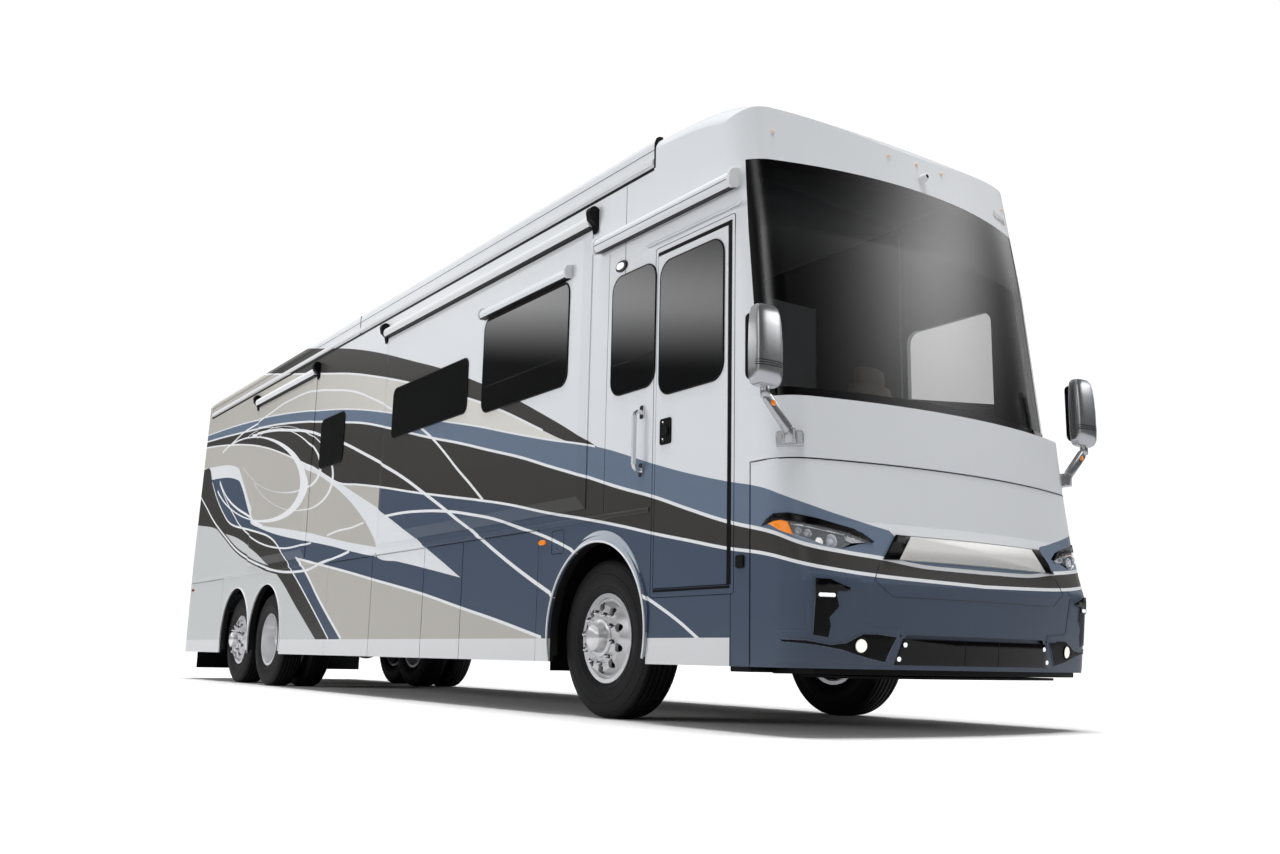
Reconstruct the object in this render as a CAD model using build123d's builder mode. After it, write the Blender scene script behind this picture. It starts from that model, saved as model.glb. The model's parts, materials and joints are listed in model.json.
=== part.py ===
"""A rear-engined motorhome: a 13 m coach body on a raised-rail chassis with a steered front
axle, a twin-wheel drive axle and a tag axle, three slide-out rooms, an entry door, baggage
doors, an engine lid and a nose that slides forward with the generator.

Millimetres. +X is the vehicle's left, +Y its rear, +Z up. The origin is on the ground under
the middle of the vehicle.
"""

from build123d import *
from math import cos, sin, sqrt, atan2, pi
import os

os.makedirs("parts", exist_ok=True)

# ---------------------------------------------------------------- body sizes
body_half = 1275            # half the width over the side skins
front_y = -6580             # foremost point of the bumper
rear_y = 6580               # rear face at bumper height
rear_lean = 200             # how far the rear face leans forward at the roof
side_wall = 60              # thickness of a side wall
cap_wall = 40               # thickness of the moulded front and rear caps
panel = 40                  # thickness of skirts and baggage doors
gap = 6                     # running gap round every door, lid and slide
seat = 0.3                  # clearance of a piece at its seat on another body
pin_radius = 3              # hinge pins of doors and lids

skirt_z = 365               # lower edge of the skirts
belt_z = 1312               # seam between the skirts and the side walls
eave_z = 3670               # top of the side walls, under the awning cassette
roof_edge_z = 3900          # roof height at its side edge
roof_crown = 40             # how much higher the middle of the roof is
eave_radius = 90            # rounding of the roof's side edges
floor_z = 1390              # top of the cabin floor
floor_depth = 60            # thickness of the cabin floor
cap_back_y = -4830          # seam between the front cap and the side walls
rear_cap_y = 6130           # seam between the side walls and the rear cap
rear_skirt_y = 6450         # seam between the rear side doors and the rear cap
rear_radius = 160           # plan radius of the rear corners

# ---------------------------------------------------------------- axles and wheels
front_axle_y = -4330
drive_axle_y = 2905
axle_spacing = 1310         # from the drive axle to the tag axle
tag_axle_y = drive_axle_y + axle_spacing
tyre_radius = 530
tyre_width = 300            # single tyres on the front and tag axles
twin_width = 280            # each of the twin tyres
rim_radius = 300            # rim flange
bead_radius = 286           # where the tyre sits
rim_width = 240
barrel = 14                 # thickness of the rim's barrel and disc
single_x = 1040             # middle of a single tyre
twin_x = 1080               # middle of the outer twin tyre
twin_pitch = 340            # between the middles of twin tyres
hub_radius = 88
spindle_radius = 50
spindle_gap = 0.08          # clearance of a hub on its spindle
hand_hole_radius = 30
hand_hole_circle = 208      # radius of the circle of hand holes
hand_holes = 10
kingpin_x = 850
steer_angle = 40            # steering lock to each side
kingpin_radius = 25
arch_radius = 610           # wheel arch openings
arch_z = 560                # centre height of the wheel arch openings
disc_offset = 160           # mounting face of the rim's disc from the rim's middle

# ---------------------------------------------------------------- chassis
rail_x = 430                # middle of each frame rail
rail_width = 70
rail_depth = 250
rail_z = 930                # underside of the frame rails
rail_top_z = rail_z + rail_depth
flap_y = -3650              # mud flaps behind the front wheels
rail_front_y = -5900
rail_rear_y = 6300
engine_front_y = 4900
hitch_z = 330               # middle of the hitch receiver
engine_half = 360

# ---------------------------------------------------------------- front form
corner_radius = 250         # plan radius of the front corners
seam_z = 1520               # seam between the nose and the front cap
nose_seam_y = -5975         # seam on the side between the nose and the front cap
brow_z = 1880               # shoulder under the windscreen
screen_top_z = 3415
screen_edge_low_y = -6050   # the windscreen's edge on the side, at its foot
screen_edge_high_y = -5880  # and at its head
glass = 10
# height, foremost y, plan radius of the front face
NOSE_SECTIONS = (
    (skirt_z, front_y + 50, 4580),
    (830, front_y, 4580),
    (1170, front_y + 70, 4300),
    (seam_z, front_y + 105, 4000),
)
BROW_SECTIONS = (
    (seam_z, front_y + 105, 4000),
    (brow_z, front_y + 139, 4000),
)
SCREEN_SECTIONS = (
    (brow_z, front_y + 200, 3300),
    (2950, front_y + 327, 3300),
    (roof_edge_z + roof_crown, front_y + 500, 3300),
)
# the cab's roof: distance ahead of the cap's rear seam, drop of the eave, rounding, crown
CAB_ROOF = (
    (0, 0, eave_radius, roof_crown),
    (640, 18, 145, 38),
    (1050, 92, 205, 34),
    (1215, 178, 240, 30),
    (1350, 320, 270, 25),
)

# outlines on the nose, seen from the front: distance from the middle, height
LAMP_OUTLINE = (
    (1264, 1150), (1235, 1170), (1123, 1168), (988, 1144), (847, 1109), (774, 1062),
    (885, 1040), (990, 1010), (1104, 1028), (1206, 1073), (1255, 1117),
)
INLAY_OUTLINE = ((-742, 966), (-615, 1112), (615, 1112), (742, 966))
GRILLE_OUTLINE = ((-660, 412), (-590, 556), (590, 556), (660, 412))
POCKET_OUTLINE = ((700, 436), (620, 556), (730, 540), (860, 566), (985, 566), (1190, 530), (1110, 480), (880, 432))
INSERT_OUTLINE = ((952, 845), (1143, 851), (1140, 650), (1155, 574), (1063, 549), (1034, 629), (1030, 744), (1005, 800), (952, 812))
tray_half = 340             # tray that carries the generator in the nose
tray_z = 400
recess_depth = 22           # depth of the recesses in the nose
fog_x = 889                 # fog lamps
fog_z = 490

# ---------------------------------------------------------------- doors, windows and slides
door_front_y = -5770
door_rear_y = -5025
door_low_z = 825
door_high_z = 3015
# baggage doors between the wheels: name, front y, rear y
BAGGAGE_RIGHT = (
    ("front", -3560, -2300),
    ("second", -2300, -1540),
    ("third", -1540, -347),
    ("fourth", -347, 866),
)
BAGGAGE_LEFT = (
    ("front", -3560, -1540),
    ("second", -1540, 866),
)
engine_bay_y = 4790         # front edge of the side doors behind the rear wheels
slide_low_z = 1410
slide_high_z = 3450
slide_depth = 720           # how deep a slide-out room reaches into the cabin
# slide-out rooms: name, side (-1 right, +1 left), front y, rear y
SLIDES = (
    ("right_front", -1, -4200, -409),
    ("right_rear", -1, 1642, 3796),
    ("left", 1, -3900, 1500),
)
# windows: host, side, front y, rear y, lower z, upper z, corner radius
WINDOWS = (
    ("right_front", -1, -3913, -2590, 2360, 3115, 80),
    ("right_front", -1, -2265, -710, 2420, 2860, 50),
    ("fixed", -1, 690, 1360, 2375, 2880, 60),
    ("fixed", -1, -4990, -4510, 2170, 2975, 90),
    ("fixed", 1, -5700, -4880, 2050, 2960, 90),
    ("left", 1, -3500, -1900, 2300, 3115, 80),
    ("left", 1, -900, 700, 2420, 2860, 50),
    ("fixed", 1, 2500, 3700, 2420, 2960, 60),
    ("door", -1, -5712, -5085, 2080, 2940, 90),
)
window_lap = 22             # how far a pane laps over the wall round its opening
pane = 8                    # thickness of a bonded pane
beyond = 200                # how far cutting blocks reach past the body
wide = body_half + beyond
inside = body_half - side_wall               # inner face of the side walls
skirt_front_y = -4990       # seam between the front cap and the skirts
cassette_depth = 120        # patio awning cassette, let into the right eave
lining = 30                 # sheet that closes the eave behind the cassette
door_thickness = 32
jamb = 30                   # entry door frame behind the door's edge
door_gap_front = 38         # wider gap on the entry door's hinge side
slide_lap = 40              # how far a slide's flange laps over the wall
slide_gap = 8               # gap round a slide in its opening
flange = 26                 # how far a slide's flange stands out from the wall
bevel = 95                  # width of the bevel round the flange
inner_half = body_half - panel - gap - 30    # inside of the skirts' inner frame
lid_half = 700              # half the width of the engine lid
lid_low_z = 620
lid_high_z = 1330
patio_front_y = -4966       # patio awning along the right eave
patio_rear_y = 6120
lamp_x = 1150               # tail lamps: inner edge, height and depth
lamp_low_z = 1330
lamp_high_z = 1710
lamp_depth = 22

mirror_x = 1423
mirror_y = -6290
mirror_low_z = 1885
mirror_high_z = 2355
steering_column = Location((620, -5800, 1930), (-35, 0, 0))
column_radius = 25


def save(piece, name):
    """Labels a finished piece and writes it as its own STEP file."""
    piece.label = name
    export_step(piece, f"parts/{name}.step")


def block(low, high, mode=Mode.ADD):
    """Adds or cuts a box between two opposite corners."""
    with Locations(tuple((a + b) / 2 for a, b in zip(low, high))):
        Box(*(abs(b - a) for a, b in zip(low, high)), mode=mode)


def side_block(side, thickness, y0, y1, z0, z1, mode=Mode.ADD, outer=body_half):
    """A box lying in a side of the body, measured inwards from its outer skin."""
    block((side * outer, y0, z0), (side * (outer - thickness), y1, z1), mode)


def side_window(side, y0, y1, z0, z1, radius, lap=0.0, x0=0.0, x1=body_half + 100, mode=Mode.SUBTRACT):
    """Cuts a rounded window through everything between two distances from the middle."""
    with BuildSketch(Plane.YZ.offset(side * x0)) as opening:
        with Locations(((y0 + y1) / 2, (z0 + z1) / 2)):
            RectangleRounded(y1 - y0 - 2 * lap, z1 - z0 - 2 * lap, radius - lap)
    extrude(opening.sketch, amount=side * (x1 - x0), mode=mode)


def plan_section(z, nose_y, front_radius, inset):
    """A plan outline of the front: two sides, two corner arcs and a shallow front arc."""
    half = body_half - inset
    corner = corner_radius - inset
    front = front_radius - inset
    corner_x = body_half - corner_radius
    centre_y = nose_y + front_radius
    corner_y = centre_y - sqrt((front_radius - corner_radius) ** 2 - corner_x ** 2)
    lean = atan2(corner_x, centre_y - corner_y)      # where the front arc meets the corner
    middle = (lean + pi / 2) / 2
    touch = (front * sin(lean), centre_y - front * cos(lean))
    bend = (corner_x + corner * sin(middle), corner_y - corner * cos(middle))
    with BuildSketch(Plane.XY.offset(z)) as section:
        with BuildLine():
            ThreePointArc((-touch[0], touch[1]), (0, nose_y + inset), touch)
            ThreePointArc(touch, bend, (half, corner_y))
            Polyline((half, corner_y), (half, cap_back_y), (-half, cap_back_y), (-half, corner_y))
            ThreePointArc((-half, corner_y), (-bend[0], bend[1]), (-touch[0], touch[1]))
        make_face()
    return section.sketch


def stack(sections, inset):
    """A straight-sided form through a stack of plan outlines."""
    with BuildPart() as form:
        loft([plan_section(z, nose_y, radius, inset) for z, nose_y, radius in sections], ruled=True)
    return form.part


def arch_section(inset, y, drop=0, rounding=eave_radius, crown=roof_crown):
    """The roof's cross-section: rounded eaves and a crown.

    It is a little wider than the body, so that the eaves cut its sides at a clear angle.
    """
    half = body_half - inset + 2
    radius = rounding - inset
    edge = roof_edge_z - drop - rounding
    bend = radius * sin(pi / 4)
    with BuildSketch(Plane.XZ.offset(-y)) as section:
        with BuildLine():
            Line((half, 0), (half, edge))
            ThreePointArc((half, edge), (half - radius + bend, edge + bend), (half - radius, edge + radius))
            ThreePointArc(
                (half - radius, edge + radius),
                (0, roof_edge_z - drop + crown - inset),
                (radius - half, edge + radius),
            )
            ThreePointArc((radius - half, edge + radius), (radius - half - bend, edge + bend), (-half, edge))
            Polyline((-half, edge), (-half, 0), (half, 0))
        make_face()
    return section.sketch


def arch_form(inset, y0, y1):
    """The roof's cross-section along a length of the body."""
    with BuildPart() as form:
        extrude(arch_section(inset, y0), amount=-(y1 - y0))
    return form.part


def cab_roof_form(inset):
    """The domed roof over the cab: its eaves fall and grow rounder towards the brow."""
    sections = [arch_section(inset, cap_back_y - ahead, *shape) for ahead, *shape in CAB_ROOF]
    with BuildPart() as form:
        loft(sections)
        extrude(sections[-1], amount=cap_back_y - CAB_ROOF[-1][0] - front_y + 50)
    return form.part


def cab_form(inset):
    """The whole front of the body, made smaller all round by the inset."""
    ledge = brow_z - inset
    with BuildPart() as form:
        add(stack(NOSE_SECTIONS, inset))
        add(stack((BROW_SECTIONS[0], (ledge,) + BROW_SECTIONS[1][1:]), inset))
        add(stack(((ledge,) + SCREEN_SECTIONS[0][1:],) + SCREEN_SECTIONS[1:], inset))
        add(cab_roof_form(inset), mode=Mode.INTERSECT)
    return form.part


def screen_prism(grow=0.0):
    """The space that the windscreen fills, seen from the side."""
    with BuildPart() as form:
        with BuildSketch(Plane.YZ.offset(-wide)):
            with BuildLine():
                Polyline(
                    (front_y - 200, brow_z + 8 - grow),
                    (screen_edge_low_y + grow, brow_z + 8 - grow),
                    (screen_edge_high_y + grow, screen_top_z + grow),
                    (front_y - 200, screen_top_z + grow),
                    close=True,
                )
            make_face()
        extrude(amount=2 * wide)
    return form.part


def pin(x, y, z0, z1, grow=0.0, mode=Mode.ADD):
    """An upright hinge pin, or with a clearance the notch for it."""
    with Locations((x, y, (z0 + z1) / 2)):
        Cylinder(pin_radius + grow, z1 - z0 + 2 * grow, mode=mode)


def bay_hinges(side, y, grow=0.0, mode=Mode.ADD):
    """The hinge pins at the front edge of a baggage door, and their leaves to the inner frame."""
    for z in (skirt_z + 160, belt_z - 170):
        pin(side * body_half, y + gap, z - 40, z + 40, grow, mode)
        if not grow:
            side_block(side, panel + gap, y - 1, y + 1, z - 40, z + 40)
            side_block(side, pin_radius, y - 1, y + gap - pin_radius + 1, z - 40, z + 40)


def rear_form(inset):
    """The rear cap's outline: a plan with rounded rear corners that leans forward above the belt."""
    def section(z, back_y):
        half = body_half - inset
        back = back_y - inset
        radius = rear_radius - inset
        bend = radius * (1 - sin(pi / 4))
        with BuildSketch(Plane.XY.offset(z)) as outline:
            with BuildLine():
                Polyline((half, back - radius), (half, rear_cap_y), (-half, rear_cap_y), (-half, back - radius))
                ThreePointArc((-half, back - radius), (-half + bend, back - bend), (-half + radius, back))
                Line((-half + radius, back), (half - radius, back))
                ThreePointArc((half - radius, back), (half - bend, back - bend), (half, back - radius))
            make_face()
        return outline.sketch

    with BuildPart() as form:
        loft([section(skirt_z, rear_y), section(seam_z, rear_y)], ruled=True)
        loft([section(seam_z, rear_y), section(roof_edge_z + roof_crown, rear_y - rear_lean)], ruled=True)
        add(arch_form(inset, rear_cap_y, rear_y + 50), mode=Mode.INTERSECT)
    return form.part


def lid_hinges(grow=0.0):
    """The hinge pins along the top edge of the engine lid, or the notches for them."""
    with BuildPart() as form:
        for x in (-lid_half + 200, lid_half - 200):
            with Locations(Location((x, rear_y, lid_high_z - gap), (0, 90, 0))):
                Cylinder(pin_radius + grow, 100 + 2 * grow)
    return form.part


def tail_lamp_form(grow):
    """Upright lamps let into the rear corners, larger by a clearance where they are a pocket."""
    with BuildPart() as form:
        add(rear_form(-2))
        add(rear_form(lamp_depth + grow), mode=Mode.SUBTRACT)
        with BuildPart(mode=Mode.PRIVATE) as corners:
            for side in (-1, 1):
                block(
                    (side * (lamp_x - grow), rear_y - 400, lamp_low_z - grow),
                    (side * (body_half - 14 + grow), rear_y + 50, lamp_high_z + grow),
                )
        add(corners.part, mode=Mode.INTERSECT)
    return form.part


def front_prism(outline, side, shrink=0.0):
    """A prism along the vehicle through the nose, from an outline seen from the front."""
    with BuildPart() as form:
        with BuildSketch(Plane.XZ.offset(175 - nose_seam_y)) as face:
            with BuildLine():
                Polyline(*((side * x, z) for x, z in outline), close=True)
            make_face()
            if shrink:
                offset(amount=-shrink, mode=Mode.REPLACE)
        extrude(amount=nose_seam_y - front_y)
    return form.part


def louvres(count, width, height, pitch, centre, side=0):
    """A stack of ventilation slots through a side (+1, -1) or through the rear (0)."""
    x, y, z = centre
    plane = Plane(origin=centre, x_dir=(0, 1, 0), z_dir=(1, 0, 0)) if side else Plane(
        origin=centre, x_dir=(1, 0, 0), z_dir=(0, -1, 0)
    )
    with BuildPart() as form:
        with BuildSketch(plane):
            with GridLocations(0, pitch, 1, count):
                SlotOverall(width, height)
        extrude(amount=200, both=True)
    return form.part


def eave_rebate(y0, y1, wall):
    """Cuts the rebate for the patio awning into the right eave and closes it with a lining."""
    deep = body_half - cassette_depth
    if y0 < patio_front_y:
        y0 = patio_front_y
    block((-wide, y0, eave_z), (-deep, y1, roof_edge_z + roof_crown), Mode.SUBTRACT)
    block((-deep, y0, eave_z - lining), (lining - deep, y1, roof_edge_z - 10))
    block((wall - body_half, y0, eave_z - lining), (-deep, y1, eave_z))


def wheel_arches(side):
    """The openings over the wheels in one side of the body."""
    with BuildPart() as form:
        for arch_y in (front_axle_y - 25, drive_axle_y + 10, tag_axle_y - 75):
            with BuildSketch(Plane.YZ.offset(side * (body_half - 120))):
                with Locations((arch_y, arch_z)):
                    Circle(arch_radius)
                with Locations((arch_y, (arch_z + 200) / 2)):
                    Rectangle(2 * arch_radius - 6, arch_z - 200)
            extrude(amount=side * 240)
    return form.part


# ================================================================ front cap, nose and windscreen
cab_outer = cab_form(0)
cab_inner = cab_form(cap_wall)

with BuildPart() as front_cap:
    add(cab_outer)
    add(cab_inner, mode=Mode.SUBTRACT)
    block((-wide, front_y - 100, 0), (wide, nose_seam_y, seam_z), Mode.SUBTRACT)
    add(screen_prism(), mode=Mode.SUBTRACT)
    door_hole = (door_front_y - door_gap_front, door_rear_y, door_low_z, door_high_z + 28)
    side_block(-1, 100, *door_hole, Mode.SUBTRACT, body_half + 20)
    side_block(
        -1, 30, door_hole[0] - jamb, door_hole[1] + jamb, door_hole[2] - jamb, door_hole[3] + jamb,
        outer=body_half - cap_wall,
    )
    side_block(
        -1, 40, door_front_y + jamb, door_rear_y - jamb, door_low_z + jamb, door_high_z - jamb,
        Mode.SUBTRACT, body_half - cap_wall,
    )
    # full-height hinge of the entry door
    pin(-body_half, door_front_y, door_low_z + 60, door_high_z - 60)
    side_block(-1, pin_radius, door_front_y - door_gap_front, door_front_y - 2, door_low_z + 60, door_high_z - 60)
    eave_rebate(door_front_y - 200, cap_back_y, cap_wall)
    for host, side, y0, y1, z0, z1, radius in WINDOWS:
        if host == "fixed":
            side_window(side, y0, y1, z0, z1, radius, x0=body_half - 100)
    for side in (-1, 1):
        side_block(side, cap_wall + 30, skirt_front_y, cap_back_y, 0, belt_z, Mode.SUBTRACT, body_half + 10)
    # bulkhead behind the nose, open round the generator and the frame rails
    block((-body_half + 20, nose_seam_y + 15, 640), (body_half - 20, nose_seam_y + 40, floor_z - floor_depth))
    block((-500, nose_seam_y, 600), (500, nose_seam_y + 60, rail_z + rail_depth + 20), Mode.SUBTRACT)
save(front_cap.part, "front_cap")

with BuildPart() as windscreen:
    add(cab_outer)
    add(cab_form(glass), mode=Mode.SUBTRACT)
    add(screen_prism(0), mode=Mode.INTERSECT)
save(windscreen.part, "windscreen")

with BuildPart() as nose:
    add(cab_outer)
    add(cab_inner, mode=Mode.SUBTRACT)
    block((-wide, front_y - 100, 0), (wide, nose_seam_y - gap, seam_z - gap), Mode.INTERSECT)
    # tray that carries the generator
    block((-tray_half, front_y + 75, tray_z), (tray_half, -5760, tray_z + 30))
    for side in (-1, 1):
        add(front_prism(LAMP_OUTLINE, side), mode=Mode.SUBTRACT)
    with BuildPart(mode=Mode.PRIVATE) as recesses:
        add(front_prism(INLAY_OUTLINE, 1))
        add(front_prism(GRILLE_OUTLINE, 1))
        for side in (-1, 1):
            add(front_prism(POCKET_OUTLINE, side))
            add(front_prism(INSERT_OUTLINE, side))
        add(cab_form(recess_depth), mode=Mode.SUBTRACT)
    add(recesses.part, mode=Mode.SUBTRACT)
save(nose.part, "nose")

with BuildPart() as generator:
    block((20 - tray_half, -6420, tray_z + 30), (tray_half - 20, -5780, 1080))
save(generator.part, "generator")

with BuildPart() as headlamps:
    for side in (-1, 1):
        add(front_prism(LAMP_OUTLINE, side, seat))
    add(cab_form(-5), mode=Mode.INTERSECT)
    add(cab_form(cap_wall + 40), mode=Mode.SUBTRACT)
    # round fog lamps on the floor of the lower pockets
    with BuildPart(mode=Mode.PRIVATE) as fog_lamps:
        for side in (-1, 1):
            with Locations(Location((side * fog_x, front_y, fog_z), (90, 0, 0))):
                Cylinder(45, 500)
        add(cab_form(recess_depth - 16), mode=Mode.INTERSECT)
        add(cab_form(recess_depth), mode=Mode.SUBTRACT)
    add(fog_lamps.part)
save(headlamps.part, "headlamps")

# ================================================================ side walls, roof and rear cap
for side, name in ((-1, "right"), (1, "left")):
    with BuildPart() as wall:
        side_block(side, side_wall, cap_back_y, rear_cap_y, belt_z, eave_z)
        for _, slide_side, y0, y1 in SLIDES:
            if slide_side == side:
                side_block(
                    side, side_wall + 20, y0 + slide_lap, y1 - slide_lap,
                    slide_low_z + slide_lap, slide_high_z - slide_lap, Mode.SUBTRACT, body_half + 10,
                )
        for host, window_side, y0, y1, z0, z1, radius in WINDOWS:
            if host == "fixed" and window_side == side:
                side_window(side, y0, y1, z0, z1, radius, x0=body_half - 100)
    save(wall.part, f"wall_{name}")

with BuildPart() as roof:
    add(arch_form(0, cap_back_y, rear_cap_y))
    add(arch_form(side_wall, cap_back_y, rear_cap_y), mode=Mode.SUBTRACT)
    block((-body_half, cap_back_y, eave_z), (body_half, rear_cap_y, 5000), Mode.INTERSECT)
    eave_rebate(cap_back_y, rear_cap_y, side_wall)
save(roof.part, "roof")

rear_outer = rear_form(0)
with BuildPart() as rear_cap:
    add(rear_outer)
    add(rear_form(cap_wall), mode=Mode.SUBTRACT)
    # below the belt the rear cap starts behind the rear side doors
    block((-wide, rear_cap_y - 10, 0), (wide, rear_skirt_y, belt_z), Mode.SUBTRACT)
    block((-lid_half, rear_y - 300, lid_low_z), (lid_half, rear_y + 50, lid_high_z), Mode.SUBTRACT)
    add(tail_lamp_form(seat), mode=Mode.SUBTRACT)
    add(lid_hinges())
    for x in (-lid_half + 200, lid_half - 200):
        block((x - 50, rear_y - pin_radius, lid_high_z - gap + 2), (x + 50, rear_y, lid_high_z))
    add(louvres(7, 900, 26, 52, (0, rear_y, lid_high_z + 370)), mode=Mode.SUBTRACT)
save(rear_cap.part, "rear_cap")

with BuildPart() as tail_lamps:
    add(tail_lamp_form(0))
save(tail_lamps.part, "tail_lamps")

with BuildPart() as engine_lid:
    block((-lid_half + gap, rear_y - panel, lid_low_z + gap), (lid_half - gap, rear_y, lid_high_z - gap))
    add(louvres(6, 1000, 28, 62, (0, rear_y, (lid_low_z + lid_high_z) / 2)), mode=Mode.SUBTRACT)
    add(lid_hinges(seat), mode=Mode.SUBTRACT)
save(engine_lid.part, "engine_lid")

# ================================================================ skirts and baggage doors
for side, name, bays in ((-1, "right", BAGGAGE_RIGHT), (1, "left", BAGGAGE_LEFT)):
    first_y, last_y = bays[0][1], bays[-1][2]
    with BuildPart() as skirt:
        side_block(side, panel, skirt_front_y, first_y, skirt_z, belt_z)
        side_block(side, panel, last_y, engine_bay_y, skirt_z, belt_z)
        # inner frame behind the doors, joined to the outer panels by their returns
        side_block(side, 30, skirt_front_y, rear_skirt_y, skirt_z + 40, belt_z, outer=body_half - panel - gap)
        for y0, y1 in ((skirt_front_y, first_y - gap), (last_y + gap, engine_bay_y - gap)):
            side_block(side, gap + 2, y0, y1, skirt_z + 40, belt_z, outer=body_half - panel + 1)
        for _, y0, y1 in bays + (("rear", engine_bay_y, rear_skirt_y),):
            side_block(side, 60, y0 + 45, y1 - 45, skirt_z + 90, belt_z - 60, Mode.SUBTRACT, body_half - panel)
        add(wheel_arches(side), mode=Mode.SUBTRACT)
        with BuildPart(mode=Mode.PRIVATE) as flare:
            with Locations(Location((side * (body_half + 2), front_axle_y - 25, arch_z), (0, 90, 0))):
                Cylinder(arch_radius + 40, 24)
                Cylinder(arch_radius, 40, mode=Mode.SUBTRACT)
            side_block(side, 60, skirt_front_y, first_y, arch_z, belt_z, Mode.INTERSECT, body_half + 40)
        add(flare.part)
        for _, y0, y1 in bays + (("rear", engine_bay_y, rear_skirt_y),):
            bay_hinges(side, y0)
    save(skirt.part, f"skirt_{name}")
    for label, y0, y1 in bays + (("rear", engine_bay_y, rear_skirt_y),):
        with BuildPart() as door:
            side_block(side, panel, y0 + gap, y1 - gap, skirt_z, belt_z - gap)
            if label == "rear" and side == 1:
                # louvres in front of the radiator
                add(louvres(9, 1100, 28, 62, (body_half, (y0 + y1) / 2, (skirt_z + belt_z) / 2 + 60), side), mode=Mode.SUBTRACT)
            bay_hinges(side, y0, seat, Mode.SUBTRACT)
        save(door.part, f"bay_door_{name}_{label}")

with BuildPart() as entry_door:
    side_block(-1, door_thickness, door_front_y, door_rear_y - gap, door_low_z + gap, door_high_z)
    for host, side, y0, y1, z0, z1, radius in WINDOWS:
        if host == "door":
            side_window(side, y0, y1, z0, z1, radius, x0=body_half - 100)
    pin(-body_half, door_front_y, door_low_z - 5, door_high_z + 5, seat, Mode.SUBTRACT)
save(entry_door.part, "entry_door")

# ================================================================ slide-out rooms
for label, side, y0, y1 in SLIDES:
    edge = slide_lap + slide_gap
    low, high = slide_low_z + edge, slide_high_z - edge
    with BuildPart() as room:
        side_block(side, slide_depth, y0 + edge, y1 - edge, low, high, outer=body_half + 2)
        side_block(
            side, slide_depth + 10, y0 + edge + 40, y1 - edge - 40, low + 40, high - 40,
            Mode.SUBTRACT, body_half - panel,
        )
        side_block(side, 8 - seat, y0, y1, slide_low_z, slide_high_z, outer=body_half + 8)
        with BuildSketch(Plane.YZ.offset(side * (body_half + 8))):
            with Locations(((y0 + y1) / 2, (slide_low_z + slide_high_z) / 2)):
                Rectangle(y1 - y0, slide_high_z - slide_low_z)
        with BuildSketch(Plane.YZ.offset(side * (body_half + flange))):
            with Locations(((y0 + y1) / 2, (slide_low_z + bevel + slide_high_z - bevel / 2) / 2)):
                Rectangle(y1 - y0 - 2 * bevel, slide_high_z - slide_low_z - 1.5 * bevel)
        loft(ruled=True)
        for host, _, w0, w1, z0, z1, radius in WINDOWS:
            if host == label:
                side_window(side, w0, w1, z0, z1, radius, x0=body_half - 100)
        if label == "right_front":
            # window awning cassette over the large window
            w0, w1, z1 = WINDOWS[0][2], WINDOWS[0][3], WINDOWS[0][5]
            with BuildSketch(Plane.XZ.offset(40 - w0)):
                with BuildLine():
                    skin = -body_half - flange + 2
                    Polyline((skin, z1 + 120), (skin, z1 + 40), (skin - 50, z1 + 30), (skin - 62, z1 + 60))
                    ThreePointArc((skin - 62, z1 + 60), (skin - 44, z1 + 100), (skin, z1 + 120))
                make_face()
            extrude(amount=w0 - w1 - 80)
    save(room.part, f"slide_{label}")

# ================================================================ window panes
for host, name, face in (
    ("fixed", "fixed_glass", body_half),
    ("door", "entry_door_glass", body_half),
    ("right_front", "slide_glass_right", body_half + flange),
    ("left", "slide_glass_left", body_half + flange),
):
    with BuildPart() as panes:
        for window_host, side, y0, y1, z0, z1, radius in WINDOWS:
            if window_host == host:
                side_window(side, y0, y1, z0, z1, radius, -window_lap, face, face + pane, Mode.ADD)
    save(panes.part, name)

# ================================================================ awnings, toppers, mirrors, roof units
with BuildPart() as awnings:
    # patio awning cassette in the right eave
    with BuildSketch(Plane.XZ.offset(-patio_front_y - gap)):
        with BuildLine():
            low, high = eave_z + gap, roof_edge_z
            out, deep = body_half, body_half - cassette_depth
            Polyline((-deep, high - 4), (-deep, low), (-out + 12, low), (-out, low + 12), (-out, high - 60))
            ThreePointArc((-out, high - 60), (-out + 18, high - 18), (-out + 60, high))
            Line((-out + 60, high), (-deep, high - 4))
        make_face()
    extrude(amount=-(patio_rear_y - patio_front_y - 2 * gap))
    # awning over the entry door
    with BuildSketch(Plane.XZ.offset(4310)):
        with BuildLine():
            Polyline((-body_half, 3245), (-body_half - 60, 3225), (-body_half - 78, 3250), (-body_half - 78, 3290))
            ThreePointArc((-body_half - 78, 3290), (-body_half - 60, 3322), (-body_half - 20, 3335))
            Polyline((-body_half - 20, 3335), (-body_half, 3335), (-body_half, 3245))
        make_face()
    extrude(amount=1540)
save(awnings.part, "awnings")

with BuildPart() as toppers:
    for label, side, y0, y1 in SLIDES:
        with BuildSketch(Plane.XZ.offset(-y0 + 10)):
            with BuildLine():
                foot, head = slide_high_z + 14, slide_high_z + 110
                skin, face = side * body_half, side * (body_half + 62)
                Polyline((skin, head), (skin, foot), (face - side * 16, foot))
                ThreePointArc((face - side * 16, foot), (face, (foot + head) / 2 - 10), (face - side * 20, head - 14))
                Line((face - side * 20, head - 14), (skin, head))
            make_face()
        extrude(amount=-(y1 - y0 + 20))
save(toppers.part, "toppers")

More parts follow.
